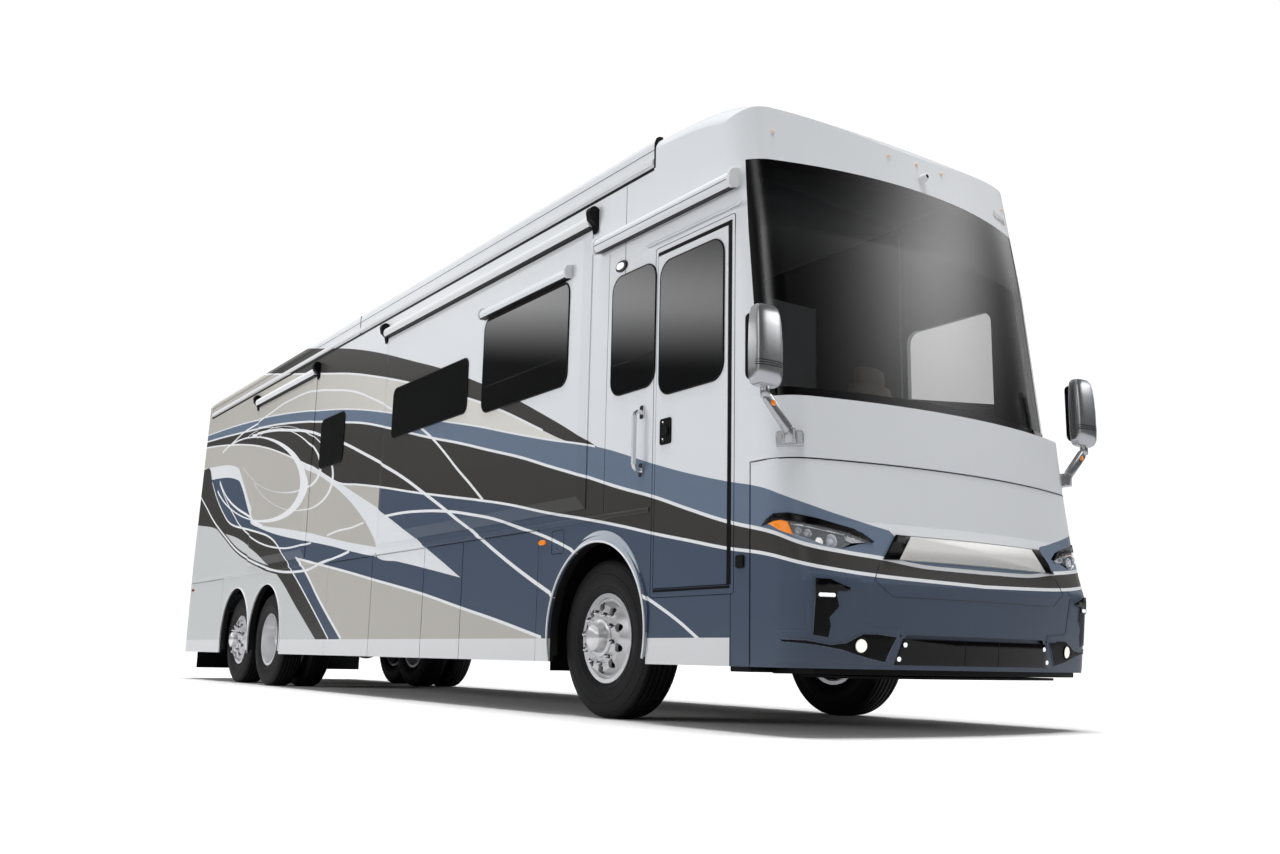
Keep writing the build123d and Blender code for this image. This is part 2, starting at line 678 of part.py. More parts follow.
with BuildPart() as mirrors:
    for side in (-1, 1):
        base = (side * (body_half - 25), nose_seam_y - 235, seam_z + 100)
        with Locations(base):
            Box(60, 120, 110)
        path_points = [
            (base[0] + side * 20, base[1] - 30, base[2] + 5),
            (side * (body_half + 55), base[1] - 70, base[2] + 90),
            (side * (body_half + 125), base[1] - 75, base[2] + 230),
            (side * (body_half + 140), base[1] - 70, base[2] + 330),
        ]
        with BuildLine() as path:
            Spline(*path_points)
        with BuildSketch(Plane(origin=path_points[0], z_dir=path.line % 0)):
            Ellipse(32, 22)
        sweep(path=path.line)
        with BuildSketch(Plane.XY.offset(mirror_low_z)):
            with Locations((side * mirror_x, mirror_y)):
                RectangleRounded(150, 90, 40)
        with BuildSketch(Plane.XY.offset(mirror_low_z + 50)):
            with Locations((side * mirror_x, mirror_y)):
                RectangleRounded(200, 120, 50)
        with BuildSketch(Plane.XY.offset(mirror_high_z - 60)):
            with Locations((side * mirror_x, mirror_y + 5)):
                RectangleRounded(190, 115, 50)
        with BuildSketch(Plane.XY.offset(mirror_high_z)):
            with Locations((side * mirror_x, mirror_y + 10)):
                RectangleRounded(130, 75, 36)
        loft(ruled=True)
    add(cab_outer, mode=Mode.SUBTRACT)
save(mirrors.part, "mirrors")

with BuildPart() as air_conditioners:
    for unit_y in (-3200, 700, 4400):
        with BuildSketch(Plane.XY.offset(roof_edge_z)):
            with Locations((0, unit_y)):
                RectangleRounded(760, 980, 120)
        extrude(amount=220, taper=14)
    add(arch_form(0, cap_back_y, rear_cap_y), mode=Mode.SUBTRACT)
save(air_conditioners.part, "air_conditioners")

# ================================================================ chassis
with BuildPart() as chassis_frame:
    for side in (-1, 1):
        block(
            (side * rail_x - rail_width / 2, rail_front_y, rail_z),
            (side * rail_x + rail_width / 2, rail_rear_y, rail_top_z),
        )
save(chassis_frame.part, "chassis_frame")

with BuildPart() as cross_members:
    rail_inner = rail_x - rail_width / 2
    for y in (-5000, -3400, -2000, -600, 800, 2000, drive_axle_y + axle_spacing / 2, 4700):
        block((-rail_inner, y - 40, rail_z + 60), (rail_inner, y + 40, rail_top_z - 40))
    # runners that carry the nose's tray, hung from the rails
    for side in (-1, 1):
        block((side * (tray_half + seat), front_y + 130, tray_z - 15), (side * (rail_inner - 10), -5700, tray_z + 45))
        block((side * (rail_inner - 10), rail_front_y, tray_z - 15), (side * rail_inner, rail_front_y + 100, rail_z + 60))
    # floor bearers that lie on the rails and carry the floor and the skirts
    for y in (-3560, -1540, 866, 2250, 4760, 6200):
        block((-inner_half, y - 25, rail_top_z), (inner_half, y + 25, floor_z - floor_depth))
save(cross_members.part, "cross_members")

with BuildPart() as mud_flaps:
    # flaps behind the front wheels, hung from the skirts' inner frames, and one across the tail
    for side in (-1, 1):
        block((side * 900, flap_y - 6, 300), (side * inner_half, flap_y, skirt_z + 300))
    block((-body_half + 95, 6143, 150), (body_half - 95, 6149, rail_z))
save(mud_flaps.part, "mud_flaps")

with BuildPart() as hitch_receiver:
    block((-rail_x, 6160, hitch_z - 32), (rail_x, 6240, hitch_z + 32))
    for side in (-1, 1):
        block((side * rail_x - 10, 6150, hitch_z - 32), (side * rail_x + 10, 6290, rail_z))
    block((-32, 6240, hitch_z - 32), (32, 6570, hitch_z + 32))
    block((-25.4, 6300, hitch_z - 25.4), (25.4, 6600, hitch_z + 25.4), Mode.SUBTRACT)
    with Locations(Location((0, 6520, hitch_z), (0, 90, 0))):
        Cylinder(8, 100, mode=Mode.SUBTRACT)
save(hitch_receiver.part, "hitch_receiver")

with BuildPart() as cabin_floor:
    block((-inside, cap_back_y, floor_z - floor_depth), (inside, rear_cap_y - 30, floor_z))
    with BuildPart(mode=Mode.PRIVATE) as cab_floor:
        add(cab_form(cap_wall + 10))
        block((-wide, nose_seam_y - 270, floor_z - floor_depth), (wide, cap_back_y, floor_z), Mode.INTERSECT)
    add(cab_floor.part)
    # stepwell inside the entry door
    well_x = 700
    well = (door_front_y + jamb, door_rear_y - jamb)
    well_side = body_half - cap_wall - 32
    block((-wide, well[0], floor_z - 200), (-well_x, well[1], floor_z + 200), Mode.SUBTRACT)
    block((-wide, door_front_y - 100, floor_z - 200), (-well_side, door_rear_y + 60, floor_z + 200), Mode.SUBTRACT)
    block((-well_side, well[0], door_low_z - 25), (-well_x, well[1], door_low_z))
    block((-well_x - 25, well[0], door_low_z - 25), (-well_x, well[1], floor_z - 5))
    block((-well_x - 300, well[0], door_low_z + 225), (-well_x, well[1], door_low_z + 250))
    for y in well:
        block((-well_side, y - 12, door_low_z - 25), (-well_x, y + 12, floor_z))
save(cabin_floor.part, "cabin_floor")

with BuildPart() as basement:
    y0, y1 = BAGGAGE_RIGHT[0][1], BAGGAGE_RIGHT[-1][2]
    block((-inner_half, y0 - 20, skirt_z + 45), (inner_half, y1 + 20, skirt_z + 75))
    for y in (y0, -1540, y1):
        block((-inner_half, y - 12, skirt_z + 45), (inner_half, y + 12, rail_top_z))
        for side in (-1, 1):
            with Locations((side * rail_x, y, rail_z + rail_depth / 2)):
                Box(rail_width, 60, rail_depth, mode=Mode.SUBTRACT)
save(basement.part, "basement")

with BuildPart() as engine:
    block((-engine_half, engine_front_y, 560), (engine_half, 6140, rail_z + rail_depth - 70))
    for y in (5100, 5950):
        block((-rail_x + rail_width / 2, y - 60, rail_z + 40), (rail_x - rail_width / 2, y + 60, rail_z + 140))
    with Locations(Location((0, engine_front_y - 200, 700), (90, 0, 0))):
        Cylinder(150, 420)
save(engine.part, "engine")

# ================================================================ axles
with BuildPart() as front_axle:
    with Locations((0, front_axle_y, tyre_radius)):
        Box(2 * kingpin_x, 110, 90)
    for side in (-1, 1):
        with Locations((side * kingpin_x, front_axle_y, tyre_radius)):
            Cylinder(60, 160)
            Cylinder(kingpin_radius + spindle_gap, 200, mode=Mode.SUBTRACT)
        with Locations((side * rail_x, front_axle_y, (tyre_radius + rail_z) / 2)):
            Cylinder(110, rail_z - tyre_radius)
save(front_axle.part, "front_axle")

for side, name in ((-1, "right"), (1, "left")):
    with BuildPart() as knuckle:
        with Locations((side * kingpin_x, front_axle_y, tyre_radius)):
            Cylinder(kingpin_radius, 250)
        for z in (-104, 104):
            with Locations((side * kingpin_x, front_axle_y, tyre_radius + z)):
                Cylinder(60, 44)
            block(
                (side * kingpin_x, front_axle_y - 60, tyre_radius + z - 22),
                (side * (kingpin_x + 115), front_axle_y + 60, tyre_radius + z + 22),
            )
        block(
            (side * (kingpin_x + 72), front_axle_y - 60, tyre_radius - 126),
            (side * (kingpin_x + 115), front_axle_y + 60, tyre_radius + 126),
        )
        with Locations(Location((side * (kingpin_x + 217), front_axle_y, tyre_radius), (0, 90, 0))):
            Cylinder(spindle_radius, 290)
    save(knuckle.part, f"knuckle_{name}")

with BuildPart() as drive_axle:
    with Locations(Location((0, drive_axle_y, tyre_radius), (0, 90, 0))):
        Cylinder(85, 1150)
        Cylinder(spindle_radius, 2000)
    with Locations((0, drive_axle_y, tyre_radius)):
        Sphere(200)
    with Locations(Location((0, (drive_axle_y + engine_front_y - 410) / 2, 660), (90, 0, 0))):
        Cylinder(50, engine_front_y - 410 - drive_axle_y)
    for side in (-1, 1):
        with Locations((side * rail_x, drive_axle_y, (tyre_radius + rail_z) / 2)):
            Cylinder(110, rail_z - tyre_radius)
save(drive_axle.part, "drive_axle")

with BuildPart() as tag_axle:
    block((-850, tag_axle_y - 55, 440), (850, tag_axle_y + 55, 570))
    with Locations(Location((0, tag_axle_y, tyre_radius), (0, 90, 0))):
        Cylinder(spindle_radius, 2 * 1150)
    for side in (-1, 1):
        with Locations((side * rail_x, tag_axle_y, (tyre_radius + rail_z) / 2)):
            Cylinder(110, rail_z - tyre_radius)
save(tag_axle.part, "tag_axle")


# ================================================================ wheels
def ring(points, x, y):
    """A solid of revolution about an axle: (distance outboard, radius) pairs at a hub centre."""
    side = 1 if x > 0 else -1
    with BuildPart() as form:
        with BuildSketch(Plane.XZ.offset(-y)):
            with BuildLine():
                Polyline(*((x + side * a, tyre_radius + r) for a, r in points), close=True)
            make_face()
        revolve(axis=Axis((0, y, tyre_radius), (1, 0, 0)))
    return form.part


def tyre(x, y, width):
    """A tyre: bead, bulging wall, shoulder and tread."""
    half = width / 2
    seat_half = rim_width / 2 - 16
    return ring((
        (-seat_half, bead_radius), (seat_half, bead_radius), (seat_half, rim_radius + 6), (half - 8, bead_radius + 60),
        (half, bead_radius + 115), (half - 8, tyre_radius - 45), (half - 26, tyre_radius - 12),
        (half - 45, tyre_radius), (45 - half, tyre_radius), (26 - half, tyre_radius - 12),
        (8 - half, tyre_radius - 45), (-half, bead_radius + 115), (8 - half, bead_radius + 60),
        (-seat_half, rim_radius + 6),
    ), x, y)


def rim(x, y, disc, hub):
    """A rim with its disc: disc and hub are distances outboard of the rim's middle."""
    half = rim_width / 2
    inner = bead_radius - barrel
    side = 1 if x > 0 else -1
    toward = 1 if disc > 0 else -1
    with BuildPart() as wheel:
        add(ring((
            (-half, inner), (half, inner), (half, rim_radius), (half - 15, rim_radius),
            (half - 16, bead_radius), (16 - half, bead_radius), (15 - half, rim_radius), (-half, rim_radius),
        ), x, y))
        edge = toward * (half - 30)
        add(ring((
            (edge, inner + 2), (edge - toward * 30, inner + 2), (disc - toward * 26, 215), (disc - toward * 26, spindle_radius + 8),
            (disc, spindle_radius + 8), (disc, 222),
        ), x, y))
        add(ring((
            (disc - 60, spindle_radius + spindle_gap), (hub, spindle_radius + spindle_gap),
            (hub, hub_radius), (disc - 60, hub_radius),
        ), x, y))
        with Locations(Location((x + side * disc, y, tyre_radius), (0, 90, 0))):
            with PolarLocations(hand_hole_circle, hand_holes):
                Cylinder(hand_hole_radius, 160, mode=Mode.SUBTRACT)
    return wheel.part


for side, name in ((-1, "right"), (1, "left")):
    save(tyre(side * single_x, front_axle_y, tyre_width), f"tyre_front_{name}")
    save(tyre(side * single_x, tag_axle_y, tyre_width), f"tyre_tag_{name}")
    save(rim(side * single_x, front_axle_y, disc_offset, disc_offset + 40), f"rim_front_{name}")
    save(rim(side * single_x, tag_axle_y, disc_offset, disc_offset + 40), f"rim_tag_{name}")
    with BuildPart() as twins:
        add(tyre(side * twin_x, drive_axle_y, twin_width))
        add(tyre(side * (twin_x - twin_pitch), drive_axle_y, twin_width))
    save(twins.part, f"tyres_drive_{name}")
    with BuildPart() as twin_rims:
        add(rim(side * twin_x, drive_axle_y, -disc_offset, 40 - disc_offset))
        add(rim(side * (twin_x - twin_pitch), drive_axle_y, twin_pitch - disc_offset, twin_pitch - disc_offset))
    save(twin_rims.part, f"rims_drive_{name}")

# ================================================================ cab
with BuildPart() as dashboard:
    add(cab_form(cap_wall + 10))
    block((-wide, nose_seam_y - 425, floor_z), (wide, nose_seam_y + 75, 1800), Mode.INTERSECT)
    block((-wide, nose_seam_y - 425, floor_z), (wide, nose_seam_y - 225, seam_z + 20), Mode.SUBTRACT)
    with Locations(steering_column):
        Cylinder(column_radius, 800, mode=Mode.SUBTRACT)
save(dashboard.part, "dashboard")

with BuildPart() as steering_wheel:
    with Locations(steering_column):
        Torus(220, 16)
        Box(430, 40, 16)
        Cylinder(60, 40)
        with Locations((0, 0, -120)):
            Cylinder(column_radius - spindle_gap, 240)
save(steering_wheel.part, "steering_wheel")

with BuildPart() as cab_seats:
    for x, y in ((620, -5300), (-400, -5150)):
        block((x - 140, y - 140, floor_z), (x + 140, y + 140, floor_z + 320))
        block((x - 260, y - 250, floor_z + 320), (x + 260, y + 250, floor_z + 450))
        block((x - 250, y + 190, floor_z + 440), (x + 250, y + 320, floor_z + 1150))
save(cab_seats.part, "cab_seats")
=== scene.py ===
"""Dresses the motorhome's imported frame: paint scheme, glass, lamps, trim, wheels, cab, camera and light."""
from __future__ import annotations

import itertools
import json
import logging
import math
from dataclasses import dataclass, field
from enum import Enum
from functools import reduce
from operator import add, or_
from typing import Callable, Iterable, Sequence

import bmesh
import bpy
from bpy.types import Material, Mesh, Node, NodeSocket, NodeTree, Object
from mathutils import Matrix, Vector
from mathutils.bvhtree import BVHTree

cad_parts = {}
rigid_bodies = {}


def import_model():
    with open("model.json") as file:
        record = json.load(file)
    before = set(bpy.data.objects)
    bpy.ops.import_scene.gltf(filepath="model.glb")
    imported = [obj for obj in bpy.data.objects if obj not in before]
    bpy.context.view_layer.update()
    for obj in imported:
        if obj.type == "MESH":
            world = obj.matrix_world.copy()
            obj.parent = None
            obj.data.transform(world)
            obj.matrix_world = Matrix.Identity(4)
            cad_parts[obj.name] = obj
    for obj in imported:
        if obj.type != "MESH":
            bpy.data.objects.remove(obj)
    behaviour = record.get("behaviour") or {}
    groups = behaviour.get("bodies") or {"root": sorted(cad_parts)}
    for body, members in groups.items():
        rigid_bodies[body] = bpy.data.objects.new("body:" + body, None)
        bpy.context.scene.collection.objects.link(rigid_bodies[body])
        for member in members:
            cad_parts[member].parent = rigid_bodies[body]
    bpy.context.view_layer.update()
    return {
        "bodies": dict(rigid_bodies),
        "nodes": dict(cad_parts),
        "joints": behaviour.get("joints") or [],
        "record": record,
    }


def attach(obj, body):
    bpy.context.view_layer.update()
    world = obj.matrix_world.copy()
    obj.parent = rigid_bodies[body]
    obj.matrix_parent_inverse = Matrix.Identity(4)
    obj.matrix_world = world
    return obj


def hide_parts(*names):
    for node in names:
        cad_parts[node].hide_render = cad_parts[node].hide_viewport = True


LOG = logging.getLogger("motorhome")
Point2 = tuple[float, float]
Point3 = tuple[float, float, float]
Outline = Sequence[Point2]
Colour = tuple[float, float, float, float]
Place = tuple[Vector, Vector]
Projection = Callable[[float, float], Place]

BODY_HALF = 1.275           # half the width over the side skins
SLIDE_FACE = 1.301          # half the width over the slide rooms' faces
CURVE_TOP = 5.0             # height at the top of a curve node's table
CURVE_REACH = 0.02          # straight stretch at each end of a drawn boundary, as a share of the table


class Side(Enum):
    """The two sides of the coach, by the sign of x."""

    RIGHT = -1
    LEFT = 1

    @property
    def label(self) -> str:
        """The side's name in lower case."""
        return self.name.lower()


def srgb(red: int, green: int, blue: int) -> Colour:
    """Converts an 8-bit display colour to a linear one.

    Args:
        red: red channel, 0 to 255.
        green: green channel.
        blue: blue channel.

    Returns:
        The colour with an alpha of one.
    """
    def linear(value: int) -> float:
        """Undoes the display curve of one channel."""
        part = value / 255
        return part / 12.92 if part <= 0.04045 else ((part + 0.055) / 1.055) ** 2.4
    return linear(red), linear(green), linear(blue), 1.0


# ------------------ node expressions
def operator(operation: str, first: float | None = None) -> Callable:
    """Makes an operator that adds a math node.

    Args:
        operation: the node's operation.
        first: a number that takes the place of a missing left operand.

    Returns:
        The operator, for the class of values.
    """
    def apply(value: Value, *other: object) -> Value:
        """Adds the node and gives its result."""
        return value.net.math(operation, *(() if first is None else (first,)), value, *other)
    return apply


class Value:
    """One scalar socket in a node tree, with arithmetic that adds math nodes. A mask is one or zero."""

    __add__ = operator("ADD")
    __sub__ = operator("SUBTRACT")
    __mul__ = operator("MULTIPLY")
    __truediv__ = operator("DIVIDE")
    __lt__ = operator("LESS_THAN")
    __gt__ = operator("GREATER_THAN")
    __and__ = operator("MULTIPLY")
    __or__ = operator("MAXIMUM")
    __abs__ = operator("ABSOLUTE")
    __invert__ = operator("SUBTRACT", 1.0)

    def __init__(self, net: Net, source: NodeSocket) -> None:
        """Wraps a socket of a net."""
        self.net, self.source = net, source

    def __rsub__(self, other: float) -> Value:
        """Difference from a number."""
        return self.net.math("SUBTRACT", other, self)

    def clamped(self) -> Value:
        """Keeps the last operation between zero and one."""
        self.source.node.use_clamp = True
        return self


class Net:
    """Builds a node tree with short calls."""

    def __init__(self, tree: NodeTree) -> None:
        """Starts on an existing tree."""
        self.tree = tree
        self.column = 0

    def node(self, kind: str, inputs: dict | None = None, **settings: object) -> Node:
        """Adds a node.

        Args:
            kind: the node's type name.
            inputs: values or sockets for its inputs, by name or number.
            settings: properties of the node.

        Returns:
            The new node.
        """
        node = self.tree.nodes.new(kind)
        node.location = (self.column * 40, -(self.column % 12) * 60)
        self.column += 1
        for name, value in settings.items():
            setattr(node, name, value)
        for key, value in (inputs or {}).items():
            self.feed(node.inputs[key], value)
        return node

    def feed(self, socket: NodeSocket, value: object) -> None:
        """Links a value into a socket, or sets the socket.

        Args:
            socket: the input to feed.
            value: a Value, a socket or a plain number or colour.
        """
        if isinstance(value, Value):
            value = value.source
        if isinstance(value, NodeSocket):
            self.tree.links.new(value, socket)
        else:
            socket.default_value = value

    def math(self, operation: str, *values: object) -> Value:
        """Adds a math node.

        Args:
            operation: the node's operation.
            values: its operands.

        Returns:
            The result.
        """
        node = self.node("ShaderNodeMath", operation=operation)
        for socket, value in zip(node.inputs, values):
            self.feed(socket, value)
        return Value(self, node.outputs[0])

    def curve(self, at: Value, points: Outline, low: float, high: float) -> Value:
        """Evaluates a boundary drawn through points, smoothly, over a range of abscissae.

        Args:
            at: where to read the boundary.
            points: (abscissa, ordinate) pairs.
            low: abscissa at the start of the curve's table.
            high: abscissa at its end.

        Returns:
            The boundary's ordinate.
        """
        node = self.node("ShaderNodeFloatCurve", {"Value": (at - low) / (high - low)})
        curve = node.mapping.curves[0]
        placed = sorted(((x - low) / (high - low), y / CURVE_TOP) for x, y in points)
        placed = [(x, y) for x, y in placed if 0.0 <= x <= 1.0]
        reach = CURVE_REACH
        if placed[0][0] > reach + 0.001:
            (x, y), (near_x, near_y) = placed[0], placed[1]
            placed.insert(0, (x - reach, y - reach * (near_y - y) / (near_x - x)))
            placed.insert(0, (0.0, placed[0][1]))
        if placed[-1][0] < 0.999 - reach:
            (x, y), (near_x, near_y) = placed[-1], placed[-2]
            placed.append((x + reach, y + reach * (near_y - y) / (near_x - x)))
            placed.append((1.0, placed[-1][1]))
        while len(curve.points) < len(placed):
            curve.points.new(0.5, 0.5)
        for point, (x, y) in zip(curve.points, placed):
            point.location = (x, y)
            point.handle_type = "AUTO_CLAMPED"
        node.mapping.update()
        return Value(self, node.outputs[0]) * CURVE_TOP

    def mix(self, mask: object, below: object, above: object) -> NodeSocket:
        """Lays one colour over another.

        Args:
            mask: one where the upper colour shows.
            below: the lower colour.
            above: the upper colour.

        Returns:
            The mixed colour.
        """
        node = self.node("ShaderNodeMix", data_type="RGBA")
        for name, value in (("Factor", mask), ("A", below), ("B", above)):
            kind = "VALUE" if name == "Factor" else "RGBA"
            self.feed(next(s for s in node.inputs if s.name == name and s.type == kind), value)
        return next(s for s in node.outputs if s.type == "RGBA")

    def place(self) -> tuple[Value, Value, Value]:
        """The shaded point's x, y and z in the coach's frame."""
        return self.parts(self.node("ShaderNodeTexCoord").outputs["Object"])

    def parts(self, vector: NodeSocket) -> tuple[Value, Value, Value]:
        """The x, y and z of a vector."""
        split = self.node("ShaderNodeSeparateXYZ", {0: vector})
        return Value(self, split.outputs[0]), Value(self, split.outputs[1]), Value(self, split.outputs[2])

    def noise(self, scale: object, detail: float) -> Value:
        """Adds noise over the coach's frame.

        Args:
            scale: its scale.
            detail: its detail.

        Returns:
            The noise, from zero to one.
        """
        where = self.node("ShaderNodeTexCoord").outputs["Object"]
        inputs = {"Vector": where, "Scale": scale, "Detail": detail}
        return Value(self, self.node("ShaderNodeTexNoise", inputs).outputs[0])

    def relief(self, strength: float, height: object) -> NodeSocket:
        """Adds a bump of at most two millimetres.

        Args:
            strength: its strength.
            height: the height that it follows.

        Returns:
            The bent normal.
        """
        bump = self.node("ShaderNodeBump", {"Strength": strength, "Distance": 0.002})
        self.feed(bump.inputs["Height"], height)
        return bump.outputs[0]


# ------------------ paint scheme
# Boundaries of the paint scheme on the body's sides: (distance along the vehicle, height).
# Ahead of the front corner the distance goes on round the nose.
SCHEME = {
    "charcoal_top": ((-4.33, 1.83), (-3.94, 2.02), (-3.56, 2.19), (-3.19, 2.35), (-2.58, 2.588), (-1.73, 2.888),
        (-1.12, 3.074), (-0.41, 3.287), (0.31, 3.484), (0.95, 3.635), (1.61, 3.771), (2.15, 3.884), (3.0, 4.05)),
    "charcoal_low": ((-4.33, 1.8), (-3.88, 1.944), (-3.6, 2.05), (-2.85, 2.337), (-2.26, 2.53), (-1.07, 2.875),
        (-0.05, 3.136), (0.58, 3.281), (1.25, 3.409), (2.0, 3.55), (2.95, 3.725), (3.89, 3.902), (5.0, 4.1)),
    "blue_top": ((-7.83, 0.965), (-7.2, 0.965), (-7.144, 1.113), (-6.945, 1.154), (-6.57, 1.227), (-6.27, 1.301),
        (-6.06, 1.367), (-5.76, 1.431), (-5.39, 1.521), (-5.07, 1.61), (-4.33, 1.83), (-3.66, 1.975), (-3.1, 2.104),
        (-2.53, 2.242), (-1.81, 2.399), (-0.67, 2.654), (0.51, 2.888), (1.45, 3.028), (2.82, 3.197), (3.76, 3.284),
        (4.89, 3.368), (6.37, 3.444)),
    "blue_low": ((-7.83, 0.93), (-7.36, 0.937), (-7.02, 0.971), (-6.75, 0.992), (-6.45, 1.026), (-6.14, 1.11),
        (-5.78, 1.19), (-5.39, 1.301), (-5.03, 1.41), (-4.61, 1.518), (-4.18, 1.641), (-3.68, 1.776), (-3.3, 1.882),
        (-2.75, 2.014), (-2.14, 2.161), (-1.6, 2.28), (-1.06, 2.408), (-0.42, 2.56), (0.17, 2.689), (0.71, 2.78),
        (1.36, 2.886), (2.08, 2.988), (2.79, 3.074), (3.56, 3.148), (4.41, 3.217), (5.33, 3.285), (6.39, 3.353)),
    "band_low": ((-7.83, 0.847), (-7.35, 0.858), (-7.0, 0.871), (-6.75, 0.887), (-6.45, 0.918), (-6.06, 0.995),
        (-5.78, 1.035), (-5.4, 1.107), (-5.08, 1.167), (-4.63, 1.259), (-4.2, 1.339), (-3.7, 1.425), (-3.15, 1.534),
        (-2.67, 1.614), (-2.02, 1.713), (-1.29, 1.825), (-0.52, 1.953), (0.17, 2.056), (0.71, 2.13), (0.98, 2.207),
        (1.63, 2.42), (2.12, 2.557), (2.7, 2.712), (3.5, 2.894), (4.35, 3.039), (5.0, 3.125), (5.79, 3.214),
        (6.4, 3.269)),
    "wedge_top": ((-2.27, 1.02), (-1.92, 1.164), (-1.54, 1.317), (-1.25, 1.443), (-0.55, 1.71), (0.16, 1.948),
        (0.71, 2.13), (0.98, 2.215), (1.63, 2.42), (2.12, 2.557), (2.7, 2.712)),
    "wedge_low": ((-2.27, 1.02), (-1.57, 1.13), (-0.99, 1.218), (-0.43, 1.3), (-0.41, 1.389), (-0.26, 1.536),
        (0.13, 1.782), (0.59, 2.003), (1.0, 2.162), (1.29, 2.263), (1.82, 2.421), (2.12, 2.557), (2.7, 2.712)),
    "field_low": ((-0.42, 1.389), (0.25, 1.476), (0.88, 1.568), (1.63, 1.684), (2.4, 1.785), (3.23, 1.89),
        (3.55, 1.96), (3.7, 2.06), (4.3, 2.556), (4.5, 2.72), (4.56, 2.755), (6.42, 2.97)),
    "bar_low": ((-2.27, 1.02), (-1.57, 1.13), (-0.99, 1.218), (-0.38, 1.303), (0.23, 1.388), (0.87, 1.487),
        (1.77, 1.609), (2.67, 1.74), (3.35, 1.87), (3.72, 1.96), (3.84, 2.05), (4.42, 2.55), (4.46, 2.573),
        (6.44, 2.79)),
    "fork": ((0.735, 0.532), (1.34, 0.888), (1.86, 1.181), (2.12, 1.321), (2.33, 1.462), (2.61, 1.624), (2.89, 1.722),
        (3.36, 1.814), (4.03, 1.913), (4.52, 1.988), (4.76, 2.046), (5.07, 2.188), (5.48, 2.436), (5.81, 2.699)),
    "fork_low": ((1.134, 0.533), (1.79, 0.868), (2.55, 1.255), (2.91, 1.383), (3.28, 1.53), (3.8, 1.679),
        (4.33, 1.813), (5.09, 1.944), (5.5, 2.035), (6.07, 2.107), (6.5, 2.152)),
    "lower_top": ((-3.64, 0.532), (-2.94, 0.664), (-2.32, 0.771), (-1.55, 0.907), (-0.39, 1.082), (0.24, 1.178),
        (1.09, 1.299), (1.92, 1.417)),
    "lower_rear": ((0.376, 0.532), (1.04, 0.908), (1.68, 1.303), (1.92, 1.417), (2.2, 1.5)),
}
# Pinstripes: points along the line, half width in metres.
PINSTRIPES = {
    "sweep": (((-3.8, 0.824), (-3.37, 0.989), (-3.01, 1.138), (-2.63, 1.307), (-2.21, 1.499), (-1.86, 1.65),
        (-1.43, 1.826), (-1.02, 1.99), (-0.48, 2.179), (0.11, 2.373), (0.68, 2.552), (1.39, 2.736), (1.72, 2.823),
        (2.41, 2.943), (3.15, 3.046), (4.04, 3.113)), 0.016),
    "tick": (((-2.67, 1.618), (-2.42, 1.777), (-2.16, 1.934), (-1.89, 2.11), (-1.6, 2.284), (-1.35, 2.41)), 0.014),
    "over_arch": (((-4.09, 1.115), (-3.86, 1.193), (-3.57, 1.278), (-3.2, 1.366), (-2.84, 1.455), (-2.45, 1.523),
        (-2.04, 1.584), (-1.46, 1.639), (-0.97, 1.663), (-0.64, 1.665)), 0.012),
    "ahead_of_arch": (((-5.6, 0.47), (-5.49, 0.528), (-5.31, 0.623), (-5.09, 0.722), (-4.93, 0.788),
        (-4.8, 0.84)), 0.012),
    "field_tick": (((-0.04, 1.655), (0.39, 1.629), (0.59, 1.63), (0.98, 1.605)), 0.01),
    "high_arc": (((-0.66, 2.693), (-0.08, 2.898), (0.54, 3.087), (1.07, 3.19), (1.63, 3.282), (2.16, 3.318),
        (2.64, 3.319), (3.21, 3.283), (3.75, 3.245), (4.41, 3.217), (5.0, 3.133)), 0.011),
    "fork_arc": (((1.474, 1.558), (2.08, 1.545), (2.63, 1.581), (3.17, 1.661), (3.66, 1.777), (4.21, 1.951),
        (4.61, 2.147), (5.05, 2.393), (5.41, 2.64)), 0.01),
    "fork_wide": (((3.23, 1.885), (3.56, 1.959), (3.9, 2.061), (4.45, 2.208), (4.85, 2.347), (5.18, 2.51),
        (5.42, 2.676)), 0.016),
    "tail_arc": (((0.302, 1.392), (0.65, 1.354), (1.09, 1.32), (1.63, 1.265), (2.15, 1.275), (2.64, 1.314),
        (3.09, 1.381), (3.75, 1.517), (4.29, 1.65), (4.88, 1.865), (5.52, 2.122), (6.0, 2.364), (6.48, 2.604)), 0.014),
}
# Swirls: centre along, centre up, half length, half height, tilt, half width on the long side.
SWIRLS = (
    (3.758, 2.529, 1.986, 0.521, 0.165, 0.03),
    (2.928, 2.664, 1.614, 0.379, 0.194, 0.009),
    (2.463, 2.509, 1.562, 0.476, 0.208, 0.009),
)
# Pale lines along boundaries: half width, and where they start and end along the coach if not with the boundary.
EDGE_LINES = {
    "blue_low": (0.011, None, None),
    "band_low": (0.0098, None, None),
    "blue_top": (0.0075, -4.3, None),
    "charcoal_low": (0.01, -3.6, None),
    "lower_top": (0.012, -3.64, 1.92),
    "lower_rear": (0.02, 0.37, 1.92),
    "fork": (0.012, 0.73, 5.81),
}
LOW, HIGH = -8.0, 7.0       # stretch along the coach that the boundaries' tables cover


# Colours of the fields, each over the ones before it. The cream field fades to taupe towards the rear.
WHITE, CREAM, TAUPE = srgb(228, 231, 234), srgb(224, 222, 216), srgb(187, 184, 178)
MASKS = {
    "lower_grey": srgb(203, 206, 206),
    "cream": CREAM,
    "taupe": TAUPE,
    "deep_blue": srgb(74, 86, 104),
    "blue": srgb(106, 121, 141),
    "charcoal": srgb(63, 62, 60),
    "line": srgb(236, 238, 240),
    "band": srgb(224, 225, 227),
    # Near-black on the backs of the panels and inside the bays and doorway: partly their own dark, partly painted
    # shade.
    "inside": srgb(30, 29, 28),
}


